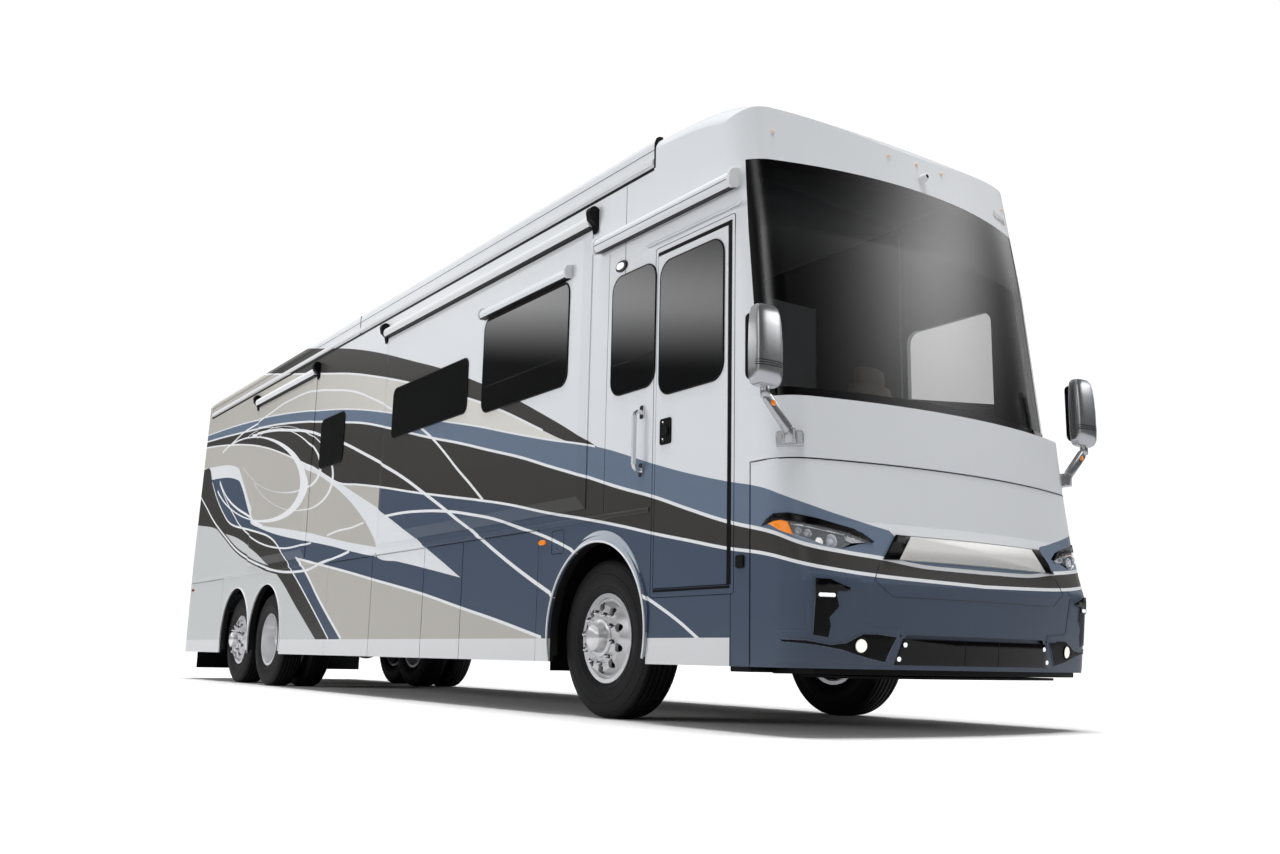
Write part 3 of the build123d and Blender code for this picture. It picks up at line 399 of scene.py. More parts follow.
@dataclass(frozen=True)
class PaintScheme:
    """The coach's swept bands, fields and pinstripes, as a group that turns a place into masks.

    A panel's back is told by its normal and its place, which side_back and nose_back give as limits. The openings
    are (start, end, top), and what is in them is behind skin_back.
    """

    nose: float = -5.9
    charcoal_start: float = -4.33
    cream_start: float = -4.3
    wedge_start: float = -2.27
    field_start: float = -0.42
    beige: Point2 = (-3.64, 1.92)
    tail_start: float = 0.7
    skirt_top: float = 0.525
    skirt_start: float = -5.8
    skin_back: float = 1.262
    side_back: Point2 = (-0.5, 1.26)
    nose_back: Point2 = (0.3, -6.0)
    openings: tuple[Point3, ...] = ((-5.97, 6.44, 1.25), (-5.815, -5.0, 3.06))

    def build(self) -> NodeTree:
        """Builds the group.

        Returns:
            A shader node tree with one output for each of the scheme's masks.
        """
        tree = bpy.data.node_groups.new("paint_scheme", "ShaderNodeTree")
        for name in MASKS:
            tree.interface.new_socket(name, in_out="OUTPUT", socket_type="NodeSocketFloat")
        net = Net(tree)
        x, y, z = net.place()
        along = y - (BODY_HALF - abs(x)) * (y < self.nose)
        edges = {name: net.curve(along, points, LOW, HIGH) for name, points in SCHEME.items()}
        masks = self.fields(z, along, edges)
        masks["line"] = self.lines(net, z, along, edges, masks)
        masks["band"] = (z < self.skirt_top) & (y > self.skirt_start)
        masks["inside"] = self.inside(net, x, y, z)
        output = net.node("NodeGroupOutput")
        for name in MASKS:
            net.feed(output.inputs[name], masks[name])
        return tree

    def inside(self, net: Net, x: Value, y: Value, z: Value) -> Value:
        """The backs of the panels, and what is behind the skin in the skirt's bays and the doorway, painted near-black:
        partly their own dark, partly painted shade.

        Args:
            net: the group's net.
            x: distance to the left of the middle.
            y: distance along the coach.
            z: height.

        Returns:
            The mask of these faces.
        """
        normal_x, normal_y, _ = net.parts(net.node("ShaderNodeNewGeometry").outputs["Normal"])
        width = abs(x)
        backs = (normal_x * net.math("SIGN", x) < self.side_back[0]) & (width < self.side_back[1])
        backs = backs | ((normal_y > self.nose_back[0]) & (y < self.nose_back[1]))
        for start, end, top in self.openings:
            backs = backs | ((width < self.skin_back) & (z < top) & (y > start) & (y < end))
        return backs

    def fields(self, z: Value, along: Value, edges: dict[str, Value]) -> dict[str, Value]:
        """The coloured fields.

        Args:
            z: height.
            along: distance along the coach, which goes on round the nose.
            edges: the heights of the scheme's boundaries.

        Returns:
            A mask for each colour.
        """
        charcoal = (z < edges["charcoal_top"]) & (z > edges["charcoal_low"]) & (z > edges["blue_top"])
        charcoal = charcoal & (along > self.charcoal_start)
        cream = (z < edges["charcoal_low"]) & (z > edges["blue_top"]) & (along > self.cream_start)
        blue = (z < edges["blue_top"]) & (z > edges["blue_low"])
        charcoal = charcoal | ((z < edges["blue_low"]) & (z > edges["band_low"]))
        below = z < edges["band_low"]
        rear = along > self.field_start
        wedge = (along > self.wedge_start) & (z < edges["wedge_top"]) & (z > edges["wedge_low"])
        white = wedge | (rear & (z < edges["field_low"]) & (z > edges["bar_low"]))
        taupe = below & rear & (z > edges["field_low"])
        start, end = self.beige
        beige = (along > start) & (along < end) & (z < edges["lower_top"]) & (z > edges["lower_rear"])
        tail = (z < edges["fork"]) & ((z < edges["lower_rear"]) | (along > end)) & (along > self.tail_start)
        grey = tail & (z < edges["fork_low"])
        deep = below & ~taupe & ~white & ~beige & ~tail
        return {"charcoal": charcoal | (tail & ~grey), "blue": blue, "deep_blue": deep,
                "taupe": (taupe & ~white) | beige, "cream": cream, "lower_grey": grey}

    def lines(self, net: Net, z: Value, along: Value, edges: dict[str, Value], masks: dict[str, Value]) -> Value:
        """The pale lines along the fields' edges, the pinstripes and the swirls.

        Args:
            net: the group's net.
            z: height.
            along: distance along the coach.
            edges: the heights of the scheme's boundaries.
            masks: the fields, to which the tail's dark outline is added.

        Returns:
            The mask of all the lines.
        """
        def near(curve: Value, half: float) -> Value:
            """One within half a width of a curve."""
            return abs(z - curve) < half

        lines = []
        for name, (half, start, end) in EDGE_LINES.items():
            line = near(edges[name], half)
            if start is not None:
                line = line & (along > start)
            if end is not None:
                line = line & (along < end)
            lines.append(line)
        for name, (points, half) in PINSTRIPES.items():
            curve = net.curve(along, points, LOW, HIGH)
            within = (along > points[0][0]) & (along < points[-1][0])
            if name == "tail_arc":
                masks["charcoal"] = masks["charcoal"] | (near(curve, half * 2.6) & within & masks["lower_grey"])
            lines.append(near(curve, half) & within)
        for centre, height, half_length, half_height, tilt, half in SWIRLS:
            level, up = along - centre, z - height
            cosine, sine = math.cos(tilt), math.sin(tilt)
            first = (level * cosine + up * sine) / half_length
            second = (up * cosine - level * sine) / half_height
            radius = net.math("SQRT", first * first + second * second)
            thickness = (0.35 - first) * 0.75
            width = net.math("MAXIMUM", thickness * (half / half_height), 0.3 * half / half_height)
            lines.append((abs(radius - 1.0) < width) & (first < 0.86))
        return reduce(or_, lines)


# ------------------ finishes
def new_material(name: str, **settings: object) -> tuple[Material, Net, Node]:
    """Creates a material and sets its shader's own sockets.

    Args:
        name: the material's name.
        settings: values of the Principled shader's sockets, with underscores for spaces.

    Returns:
        The material, its net and its shader.
    """
    material = bpy.data.materials.new(name)
    material.use_nodes = True
    net = Net(material.node_tree)
    shader = next(n for n in material.node_tree.nodes if n.type == "BSDF_PRINCIPLED")
    for key, value in settings.items():
        shader.inputs[key.replace("_", " ")].default_value = value
    return material, net, shader


def surface_grain() -> NodeTree:
    """Builds the group of fine variation that every plain finish uses, with its own scale, shading and roughness.

    Returns:
        The shader node tree.
    """
    tree = bpy.data.node_groups.new("surface_grain", "ShaderNodeTree")
    for name in ("Scale", "Variation", "Roughness"):
        tree.interface.new_socket(name, in_out="INPUT", socket_type="NodeSocketFloat")
    for name in ("Shade", "Roughness", "Height"):
        tree.interface.new_socket(name, in_out="OUTPUT", socket_type="NodeSocketFloat")
    net = Net(tree)
    given = net.node("NodeGroupInput").outputs
    fine, broad = net.noise(given["Scale"], 5.0), net.noise(2.3, 3.0)
    output = net.node("NodeGroupOutput")
    net.feed(output.inputs["Shade"], (fine + broad - 1.0) * Value(net, given["Variation"]) + 1.0)
    net.feed(output.inputs["Roughness"], (fine * 0.4 + 0.8) * Value(net, given["Roughness"]))
    net.feed(output.inputs["Height"], fine)
    return tree


@dataclass(frozen=True)
class Finish:
    """A finish with slight variation in colour, roughness and relief."""

    name: str
    colour: Colour
    roughness: float
    metallic: float = 0.0
    scale: float = 60.0
    relief: float = 0.1
    variation: float = 0.12
    coat: float = 0.0
    alpha: float = 1.0
    glow: float = 0.0
    specular: float = 0.5

    def make(self, grain: NodeTree) -> Material:
        """Builds the material.

        Args:
            grain: the shared group of fine variation.

        Returns:
            The material.
        """
        material, net, shader = new_material(self.name, Metallic=self.metallic, Coat_Weight=self.coat,
                                             Coat_Roughness=0.03, Alpha=self.alpha, Specular_IOR_Level=self.specular)
        group = net.node("ShaderNodeGroup", node_tree=grain)
        for name, value in (("Scale", self.scale), ("Variation", self.variation), ("Roughness", self.roughness)):
            net.feed(group.inputs[name], value)
        shade = net.node("ShaderNodeHueSaturation", {"Color": self.colour, "Value": group.outputs["Shade"]})
        net.feed(shader.inputs["Base Color"], shade.outputs[0])
        net.feed(shader.inputs["Roughness"], group.outputs["Roughness"])
        net.feed(shader.inputs["Normal"], net.relief(self.relief, group.outputs["Height"]))
        if self.glow:
            shader.inputs["Emission Color"].default_value = self.colour
            shader.inputs["Emission Strength"].default_value = self.glow
        return material


@dataclass(frozen=True)
class BodyPaint:
    """Clear-coated body paint in the scheme's colours, white above the scheme and dusty low down."""

    name: str = "body_paint"
    scheme_top: float = 3.903
    dust_top: float = 0.62
    dust: Colour = srgb(150, 146, 140)

    def make(self, scheme: NodeTree) -> Material:
        """Builds the material.

        Args:
            scheme: the group of the scheme's masks.

        Returns:
            The material.
        """
        material, net, shader = new_material(self.name, Coat_Weight=0.1, Coat_Roughness=0.05, Specular_IOR_Level=0.24)
        masks = net.node("ShaderNodeGroup", node_tree=scheme).outputs
        _, y, z = net.place()
        colour = WHITE
        for name, paint in MASKS.items():
            if name == "cream":
                paint = net.mix(net.math("MULTIPLY_ADD", y, 0.13, 0.5).clamped(), CREAM, TAUPE)
            colour = net.mix(masks[name], colour, paint)
        colour = net.mix(z > self.scheme_top, colour, WHITE)
        haze = net.noise(1.7, 4.0)
        dust = (self.dust_top - z).clamped() * haze * 0.35
        net.feed(shader.inputs["Base Color"], net.mix(dust, colour, self.dust))
        net.feed(shader.inputs["Normal"], net.relief(0.03, net.noise(55.0, 1.0)))
        net.feed(shader.inputs["Roughness"], haze * 0.1 + 0.26)
        return material


@dataclass(frozen=True)
class SideGlass:
    """Near-black privacy glass, with clearer glass beside the driver.

    The clearer pane runs from front to rear and up to top, over a bottom edge that rises by slope from foot.
    """

    name: str = "side_glass"
    tint: Colour = srgb(9, 10, 11)
    sheen: Colour = srgb(16, 17, 18)
    driver_alpha: float = 0.14
    front: float = -5.78
    rear: float = -4.84
    top: float = 2.99
    foot: float = 3.51
    slope: float = 0.22

    def make(self) -> Material:
        """Builds the material.

        Returns:
            The material.
        """
        material, net, shader = new_material(self.name, Roughness=0.03, IOR=1.52, Coat_Weight=0.6, Coat_Roughness=0.02)
        x, y, z = net.place()
        net.feed(shader.inputs["Base Color"], net.mix(net.noise(3.0, 2.0), self.tint, self.sheen))
        driver = (x > 0.0) & (y < self.rear) & (z > y * self.slope + self.foot) & (z < self.top) & (y > self.front)
        net.feed(shader.inputs["Alpha"], 1.0 - driver * (1.0 - self.driver_alpha))
        return material


@dataclass(frozen=True)
class ScreenGlass:
    """The windscreen's tinted glass with its printed black border and the shade band at its top.

    The border is below low, above high, and behind a side edge that leans from its foot by lean for each metre up.
    """

    name: str = "screen_glass"
    tint: Colour = srgb(12, 13, 14)
    print_black: Colour = srgb(6, 6, 7)
    alpha: float = 0.3
    low: float = 1.95
    high: float = 3.355
    foot: Point2 = (-6.11, 1.888)
    lean: float = 0.17 / 1.527
    band: Point3 = (2.95, 0.42, 0.65)

    def make(self) -> Material:
        """Builds the material.

        Returns:
            The material.
        """
        material, net, shader = new_material(self.name, Roughness=0.03, IOR=1.9)
        _, y, z = net.place()
        edge = (z - self.foot[1]) * self.lean + self.foot[0]
        border = (z < self.low) | (z > self.high) | (y > edge)
        start, height, strength = self.band
        shade = ((z - start) / height).clamped() * strength
        net.feed(shader.inputs["Base Color"], net.mix(border, self.tint, self.print_black))
        alpha = net.math("MAXIMUM", border, shade + self.alpha).clamped()
        net.feed(shader.inputs["Alpha"], alpha)
        net.feed(shader.inputs["Specular IOR Level"], net.math("DIVIDE", self.alpha, alpha))
        return material


@dataclass
class Kit:
    """All the finishes by name."""

    grain: NodeTree = field(init=False)
    finishes: dict[str, Material] = field(default_factory=dict)

    def __post_init__(self) -> None:
        """Builds every material."""
        self.grain = surface_grain()
        plain = (
            Finish("polished_alloy", srgb(246, 246, 248), 0.19, 0.55, 90, 0.02, 0.04, coat=0.3),
            Finish("chrome", srgb(238, 238, 241), 0.06, 1.0, 40, 0.01, 0.02),
            Finish("mirror_silver", srgb(225, 228, 230), 0.02, 1.0, 30, 0.0, 0.01),
            Finish("brushed_plate", srgb(196, 197, 198), 0.32, 1.0, 180, 0.1, 0.06),
            Finish("tyre_rubber", srgb(20, 20, 21), 0.52, 0.0, 220, 0.15, specular=0.35),
            Finish("black_steel", srgb(20, 20, 22), 0.55, 0.0, 80, 0.15),
            Finish("exhaust_steel", srgb(148, 144, 138), 0.35, 1.0, 70, 0.15, 0.15),
            Finish("black_plastic", srgb(12, 12, 14), 0.45, 0.0, 300, 0.08, specular=0.22),
            Finish("satin_black", srgb(8, 8, 10), 0.4, 0.0, 200, 0.04, specular=0.18),
            Finish("gloss_black", srgb(6, 6, 8), 0.14, 0.0, 120, 0.01, 0.05, specular=0.3),
            Finish("lamp_black", srgb(12, 12, 14), 0.2, 0.0, 120, 0.02, 0.05, coat=0.6),
            Finish("white_plastic", srgb(229, 230, 232), 0.35, 0.0, 150, 0.05, 0.03),
            Finish("gloss_white", srgb(240, 242, 244), 0.2, 0.0, 120, 0.01, 0.02, coat=0.7),
            # The flare's light grey-blue is painted reflection over its own blue.
            Finish("flare_paint", srgb(164, 172, 183), 0.25, 0.0, 70, 0.01, 0.03, coat=0.7),
            Finish("deep_paint", srgb(74, 86, 104), 0.28, 0.0, 70, 0.02, 0.03, coat=0.6),
            Finish("crease_shade", srgb(40, 47, 58), 0.4, 0.0, 70, 0.02, 0.03),
            Finish("inlay_satin", srgb(220, 219, 216), 0.3, 0.2, 160, 0.02, 0.03, coat=0.3),
            Finish("lamp_amber", srgb(236, 132, 24), 0.18, 0.0, 140, 0.05, 0.08, coat=0.9, glow=0.25),
            Finish("marker_amber", srgb(236, 206, 178), 0.2, 0.0, 140, 0.05, 0.05, coat=0.8, glow=0.1),
            Finish("lamp_red", srgb(150, 14, 16), 0.16, 0.0, 160, 0.08, 0.1, coat=0.9),
            Finish("lamp_white", srgb(248, 250, 252), 0.15, 0.0, 120, 0.02, 0.02, coat=0.9, glow=0.6),
            Finish("lamp_lit", srgb(255, 250, 240), 0.12, 0.0, 120, 0.02, 0.02, coat=0.9, glow=0.55),
            Finish("satin_chrome", srgb(206, 208, 211), 0.22, 0.85, 260, 0.03, 0.05),
            Finish("lamp_cover", srgb(226, 232, 238), 0.03, 0.0, 40, 0.0, 0.01, coat=1.0, alpha=0.1),
            Finish("clear_rod", srgb(222, 226, 230), 0.1, 0.0, 60, 0.01, 0.02, coat=1.0),
            Finish("engine_iron", srgb(70, 72, 74), 0.6, 0.3, 60, 0.3),
            Finish("seat_leather", srgb(122, 108, 92), 0.42, 0.0, 320, 0.35, 0.08),
            Finish("floor_board", srgb(96, 80, 64), 0.5, 0.0, 30, 0.2),
            Finish("awning_white", srgb(226, 228, 230), 0.38, 0.0, 160, 0.04, 0.03),
        )
        for finish in plain:
            self.finishes[finish.name] = finish.make(self.grain)
        self.finishes["body_paint"] = BodyPaint().make(PaintScheme().build())
        self.finishes["side_glass"] = SideGlass().make()
        self.finishes["screen_glass"] = ScreenGlass().make()

    def __getitem__(self, name: str) -> Material:
        """The material of that name."""
        return self.finishes[name]


# ------------------ mesh making
def bevel(obj: Object, width: float, steps: int, angle: float) -> None:
    """Rounds an object's sharp edges.

    Args:
        obj: the object.
        width: width of a rounded edge.
        steps: its segments.
        angle: angle in radians from which an edge counts as sharp.
    """
    rounding = obj.modifiers.new("rounding", "BEVEL")
    rounding.width, rounding.segments = width, steps
    rounding.limit_method, rounding.angle_limit = "ANGLE", angle


def enter(name: str, mesh: Mesh, material: Material, smooth: float) -> Object:
    """Finishes a mesh and puts it in the scene.

    Args:
        name: the object's name.
        mesh: its mesh.
        material: its finish.
        smooth: angle in radians above which an edge stays sharp.

    Returns:
        The object.
    """
    mesh.materials.append(material)
    mesh.shade_smooth()
    mesh.set_sharp_from_angle(angle=smooth)
    obj = bpy.data.objects.new(name, mesh)
    bpy.context.scene.collection.objects.link(obj)
    return obj


class Form:
    """Collects simple closed solids into one mesh. Each method that adds one returns the form."""

    def __init__(self) -> None:
        """Starts empty."""
        self.vertices: list[Vector] = []
        self.faces: list[tuple[int, ...]] = []

    def add(self, vertices: Iterable, faces: Iterable[Sequence[int]]) -> Form:
        """Adds a solid.

        Args:
            vertices: its points.
            faces: its faces, numbered from its own first point.

        Returns:
            The form.
        """
        base = len(self.vertices)
        self.vertices += [Vector(v) for v in vertices]
        self.faces += [tuple(base + i for i in f) for f in faces]
        return self

    def box(self, low: Point3, high: Point3) -> Form:
        """Adds a box between two opposite corners."""
        corners = itertools.product(*zip(low, high))
        return self.add(corners, ((0, 1, 3, 2), (4, 6, 7, 5), (0, 4, 5, 1), (2, 3, 7, 6), (0, 2, 6, 4), (1, 5, 7, 3)))

    def turn(self, profile: Outline, origin: Point3, axis: Point3, segments: int = 48) -> Form:
        """Revolves a profile about an axis, closed at its ends.

        Args:
            profile: (distance along the axis, radius) pairs.
            origin: a point on the axis.
            axis: its direction.
            segments: steps round the axis.

        Returns:
            The form.
        """
        axis = Vector(axis).normalized()
        side = axis.orthogonal().normalized()
        other = axis.cross(side)
        rings, faces = [], []
        for along, radius in profile:
            rings += [Vector(origin) + axis * along + (side * math.cos(a) + other * math.sin(a)) * radius
                      for a in (2 * math.pi * i / segments for i in range(segments))]
        for r in range(len(profile) - 1):
            for i in range(segments):
                j = (i + 1) % segments
                faces.append((r * segments + i, r * segments + j, (r + 1) * segments + j, (r + 1) * segments + i))
        if profile[0] != profile[-1]:
            faces.append(tuple(reversed(range(segments))))
            last = (len(profile) - 1) * segments
            faces.append(tuple(last + i for i in range(segments)))
        return self.add(rings, faces)

    def prism(self, outline: Sequence[Point3], shift: Point3) -> Form:
        """Extrudes a closed outline.

        Args:
            outline: its points.
            shift: the way it goes, as a vector.

        Returns:
            The form.
        """
        count = len(outline)
        top = [Vector(p) + Vector(shift) for p in outline]
        faces = [tuple(reversed(range(count))), tuple(count + i for i in range(count))]
        faces += [(i, (i + 1) % count, count + (i + 1) % count, count + i) for i in range(count)]
        return self.add([Vector(p) for p in outline] + top, faces)

    def plate(self, outline: Outline, x0: float, x1: float) -> Form:
        """Extrudes an outline in a side of the body between two distances from the middle."""
        return self.prism([(x0, y, z) for y, z in outline], (x1 - x0, 0, 0))

    def beam(self, outline: Outline, y0: float, length: float) -> Form:
        """Extrudes an (x, z) outline backwards from a place along the coach."""
        return self.prism([(x, y0, z) for x, z in outline], (0, length, 0))

    def ring(self, outer: Sequence[Point3], inner: Sequence[Point3], shift: Point3) -> Form:
        """Adds a flat frame between two outlines of the same number of points.

        Args:
            outer: its outer outline.
            inner: its inner outline.
            shift: its thickness, as a vector.

        Returns:
            The form.
        """
        count = len(outer)
        vertices = [Vector(p) + Vector(shift) * t for t in (0, 1) for loop in (outer, inner) for p in loop]
        faces = []
        for i in range(count):
            j = (i + 1) % count
            faces += [(i, j, count + j, count + i), (2 * count + i, 3 * count + i, 3 * count + j, 2 * count + j),
                      (i, 2 * count + i, 2 * count + j, j), (count + i, count + j, 3 * count + j, 3 * count + i)]
        return self.add(vertices, faces)

    def frame(self, outer: Outline, inner: Outline, x0: float, x1: float) -> Form:
        """Adds a flat frame in a side of the body between two distances from the middle."""
        return self.ring([(x0, y, z) for y, z in outer], [(x0, y, z) for y, z in inner], (x1 - x0, 0, 0))

    def rows(self, rows: Sequence[Sequence[Point3]]) -> Form:
        """Joins closed outlines into a closed form.

        Args:
            rows: the outlines in order, all of the same number of points.

        Returns:
            The form.
        """
        count = len(rows[0])
        faces = [(r * count + i, r * count + (i + 1) % count, (r + 1) * count + (i + 1) % count, (r + 1) * count + i)
                 for r in range(len(rows) - 1) for i in range(count)]
        last = (len(rows) - 1) * count
        faces += [tuple(reversed(range(count))), tuple(last + i for i in range(count))]
        return self.add([p for row in rows for p in row], faces)

    def stack(self, sections: Sequence[tuple[Point3, Outline]]) -> Form:
        """Joins horizontal outlines, each given by its centre and offsets."""
        return self.rows([[(cx + dx, cy + dy, cz) for dx, dy in outline] for (cx, cy, cz), outline in sections])

    def tube(self, points: Sequence[Point3], radius: float, segments: int = 12) -> Form:
        """Sweeps a round section along a line.

        Args:
            points: the line's points.
            radius: the section's radius.
            segments: steps round the section.

        Returns:
            The form.
        """
        path = [Vector(p) for p in points]
        side = None
        rings = []
        for i, point in enumerate(path):
            ahead = (path[min(i + 1, len(path) - 1)] - path[max(i - 1, 0)]).normalized()
            side = (ahead.orthogonal() if side is None else side - ahead * side.dot(ahead)).normalized()
            other = ahead.cross(side)
            rings.append([point + (side * math.cos(a) + other * math.sin(a)) * radius
                          for a in (2 * math.pi * k / segments for k in range(segments))])
        return self.rows(rings)

    def make(self, name: str, material: Material, smooth: float, rounding: float = 0.0,
             steps: int = 2) -> Object:
        """Makes the object.

        Args:
            name: the piece's name.
            material: its finish.
            smooth: angle in radians above which an edge stays sharp.
            rounding: width of its rounded edges.
            steps: segments of a rounded edge.

        Returns:
            The object, in the scene.
        """
        mesh = bpy.data.meshes.new(name)
        mesh.from_pydata([tuple(v) for v in self.vertices], [], self.faces)
        mesh.validate()
        bm = bmesh.new()
        bm.from_mesh(mesh)
        bmesh.ops.recalc_face_normals(bm, faces=bm.faces)
        bm.to_mesh(mesh)
        bm.free()
        obj = enter(name, mesh, material, smooth)
        if rounding:
            bevel(obj, rounding, steps, 0.6)
        return obj


def rounded(y0: float, y1: float, z0: float, z1: float, radius: float, steps: int = 6) -> list[Point2]:
    """A rounded rectangle's outline.

    Args:
        y0: lower first coordinate.
        y1: upper first coordinate.
        z0: lower second coordinate.
        z1: upper second coordinate.
        radius: radius of its corners.
        steps: segments of a corner.

    Returns:
        Its points, anticlockwise.
    """
    points = []
    corners = ((y1 - radius, z1 - radius), (y0 + radius, z1 - radius), (y0 + radius, z0 + radius),
               (y1 - radius, z0 + radius))
    for quarter, (cy, cz) in enumerate(corners):
        for i in range(steps + 1):
            angle = math.radians(90 * quarter + 90 * i / steps)
            points.append((cy + radius * math.cos(angle), cz + radius * math.sin(angle)))
    return points


def superellipse(half_x: float, half_y: float, power: float, count: int = 32) -> list[Point2]:
    """An outline between an ellipse and a rectangle, about the origin.

    Args:
        half_x: half its first extent.
        half_y: half its second extent.
        power: 2 for an ellipse, more for squarer corners.
        count: number of its points.

    Returns:
        Its points, anticlockwise.
    """
    def extent(half: float, part: float) -> float:
        """One coordinate, from the sine or cosine of the angle."""
        return half * math.copysign(abs(part) ** (2 / power), part)

    angles = [2 * math.pi * i / count for i in range(count)]
    return [(extent(half_x, math.cos(a)), extent(half_y, math.sin(a))) for a in angles]


def smooth_path(points: Sequence[Point3], steps: int) -> list[Vector]:
    """A smooth curve through points.

    Args:
        points: the points.
        steps: segments between two of them.

    Returns:
        Points of the curve.
    """
    knots = [Vector(p) for p in points]
    knots = [knots[0] * 2 - knots[1]] + knots + [knots[-1] * 2 - knots[-2]]
    line = []
    for a, b, c, d in zip(knots, knots[1:], knots[2:], knots[3:]):
        for i in range(steps):
            t = i / steps
            square = (2 * a - 5 * b + 4 * c - d) * t ** 2
            line.append(0.5 * (2 * b + (c - a) * t + square + (3 * b - a - 3 * c + d) * t ** 3))
    return line + [knots[-2]]


def across(points: Outline, side: Side) -> list[Point2]:
    """An outline given for the left of the nose, on the given side."""
    return [(side.value * u, v) for u, v in points]


class Skin:
    """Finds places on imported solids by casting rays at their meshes."""

    def __init__(self, obj: Object) -> None:
        """Reads the mesh of an object."""
        mesh = obj.data
        self.tree = BVHTree.FromPolygons([v.co.copy() for v in mesh.vertices],
                                         [tuple(p.vertices) for p in mesh.polygons])

    def cast(self, origin: Point3, direction: Point3) -> Place:
        """Follows a ray to the skin.

        Args:
            origin: its start.
            direction: its direction.

        Returns:
            The first point and the outward normal there, or those of the nearest point if it misses.
        """
        point, normal, _, _ = self.tree.ray_cast(Vector(origin), Vector(direction))
        if point is None:
            point, normal, _, _ = self.tree.find_nearest(Vector(origin) + Vector(direction) * 1.7)
        if normal.dot(Vector(direction)) > 0:
            normal = -normal
        return point, normal

    def front(self, x: float, z: float) -> Place:
        """The place seen from straight ahead."""
        return self.cast((x, -8.0, z), (0, 1.0, 0.0))

    def behind(self, x: float, z: float) -> Place:
        """The place seen from straight behind."""
        return self.cast((x, 8.0, z), (0.0, -1.0, 0.0))


@dataclass
class Assembly:
    """A group of pieces that ride on the coach's bodies, most of them on the one named home."""

    kit: Kit
    nodes: dict[str, Object]
    home: str = "coach"

    def hang(self, obj: Object, body: str, replaced: Sequence[str]) -> Object:
        """Hangs a piece on its body, logs it and hides the solids it stands for.

        Args:
            obj: the piece.
            body: the body that it rides on, or nothing for home.
            replaced: solids that it stands for.

        Returns:
            The piece.
        """
        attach(obj, body or self.home)
        for node in replaced:
            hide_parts(node)
        LOG.info("%s on %s", obj.name, body or self.home)
        return obj

    def put(self, name: str, form: Form, finish: str, smooth: float = 0.5, rounding: float = 0.0, steps: int = 2, *,
            body: str = "", slot: str = "", replaced: Sequence[str] = ()) -> Object:
        """Makes a piece from a form and hangs it.

        Args:
            name: its name.
            form: its shape.
            finish: the name of its finish.
            smooth: angle in radians above which an edge stays sharp.
            rounding: width of its rounded edges.
            steps: segments of a rounded edge.
            body: the body that it rides on, if not home.
            slot: not used.
            replaced: solids that it stands for.

        Returns:
            The piece.
        """
        obj = form.make(name, self.kit[finish], smooth, rounding, steps)
        return self.hang(obj, body, replaced)

    def lay(self, name: str, outline: Outline, project: Projection, finish: str, step: float, lift: float,
            thickness: float, rim: float = 0.0, replaced: Sequence[str] = ()) -> Object:
        """Hangs a thin panel that follows a surface: a flat outline, cut into a grid, projected and thickened.

        Args:
            name: its name.
            outline: corners in the plane of the projection.
            project: gives the place on the surface for a point of that plane.
            finish: the name of its finish.
            step: size of its grid.
            lift: distance of its back from the surface, outwards.
            thickness: its thickness.
            rim: width of its rounded rim.
            replaced: solids that it stands for.

        Returns:
            The piece.
        """
        bm = bmesh.new()
        bm.faces.new([bm.verts.new((u, v, 0.0)) for u, v in outline])
        bmesh.ops.triangulate(bm, faces=bm.faces)
        for index, normal in ((0, (1, 0, 0)), (1, (0, 1, 0))):
            values = [p[index] for p in outline]
            low, high = min(values), max(values)
            count = int((high - low) / step)
            for i in range(1, count + 1):
                at = [0.0, 0.0, 0.0]
                at[index] = low + (high - low) * i / (count + 1)
                bmesh.ops.bisect_plane(bm, geom=bm.verts[:] + bm.edges[:] + bm.faces[:], plane_co=at, plane_no=normal)
        bmesh.ops.remove_doubles(bm, verts=bm.verts, dist=1e-5)
        facing = Vector()
        for vert in bm.verts:
            point, normal = project(vert.co.x, vert.co.y)
            vert.co = point + normal * lift
            facing += normal
        bm.normal_update()
        if sum((f.normal * f.calc_area() for f in bm.faces), Vector()).dot(facing) < 0:
            bmesh.ops.reverse_faces(bm, faces=bm.faces)
        mesh = bpy.data.meshes.new(name)
        bm.to_mesh(mesh)
        bm.free()
        obj = enter(name, mesh, self.kit[finish], 0.5)
        solid = obj.modifiers.new("thickness", "SOLIDIFY")
        solid.thickness, solid.offset = thickness, 1.0
        if rim:
            bevel(obj, rim, 2, 0.9)
        return self.hang(obj, "", replaced)


# ------------------ wheels
@dataclass(frozen=True)
class WheelPlace:
    """Where a wheel or a pair of twins stands."""

    label: str
    side: Side
    middle: float
    axle: float
    width: float
    body: str
    node: str
    disc: float
    cover_reach: float


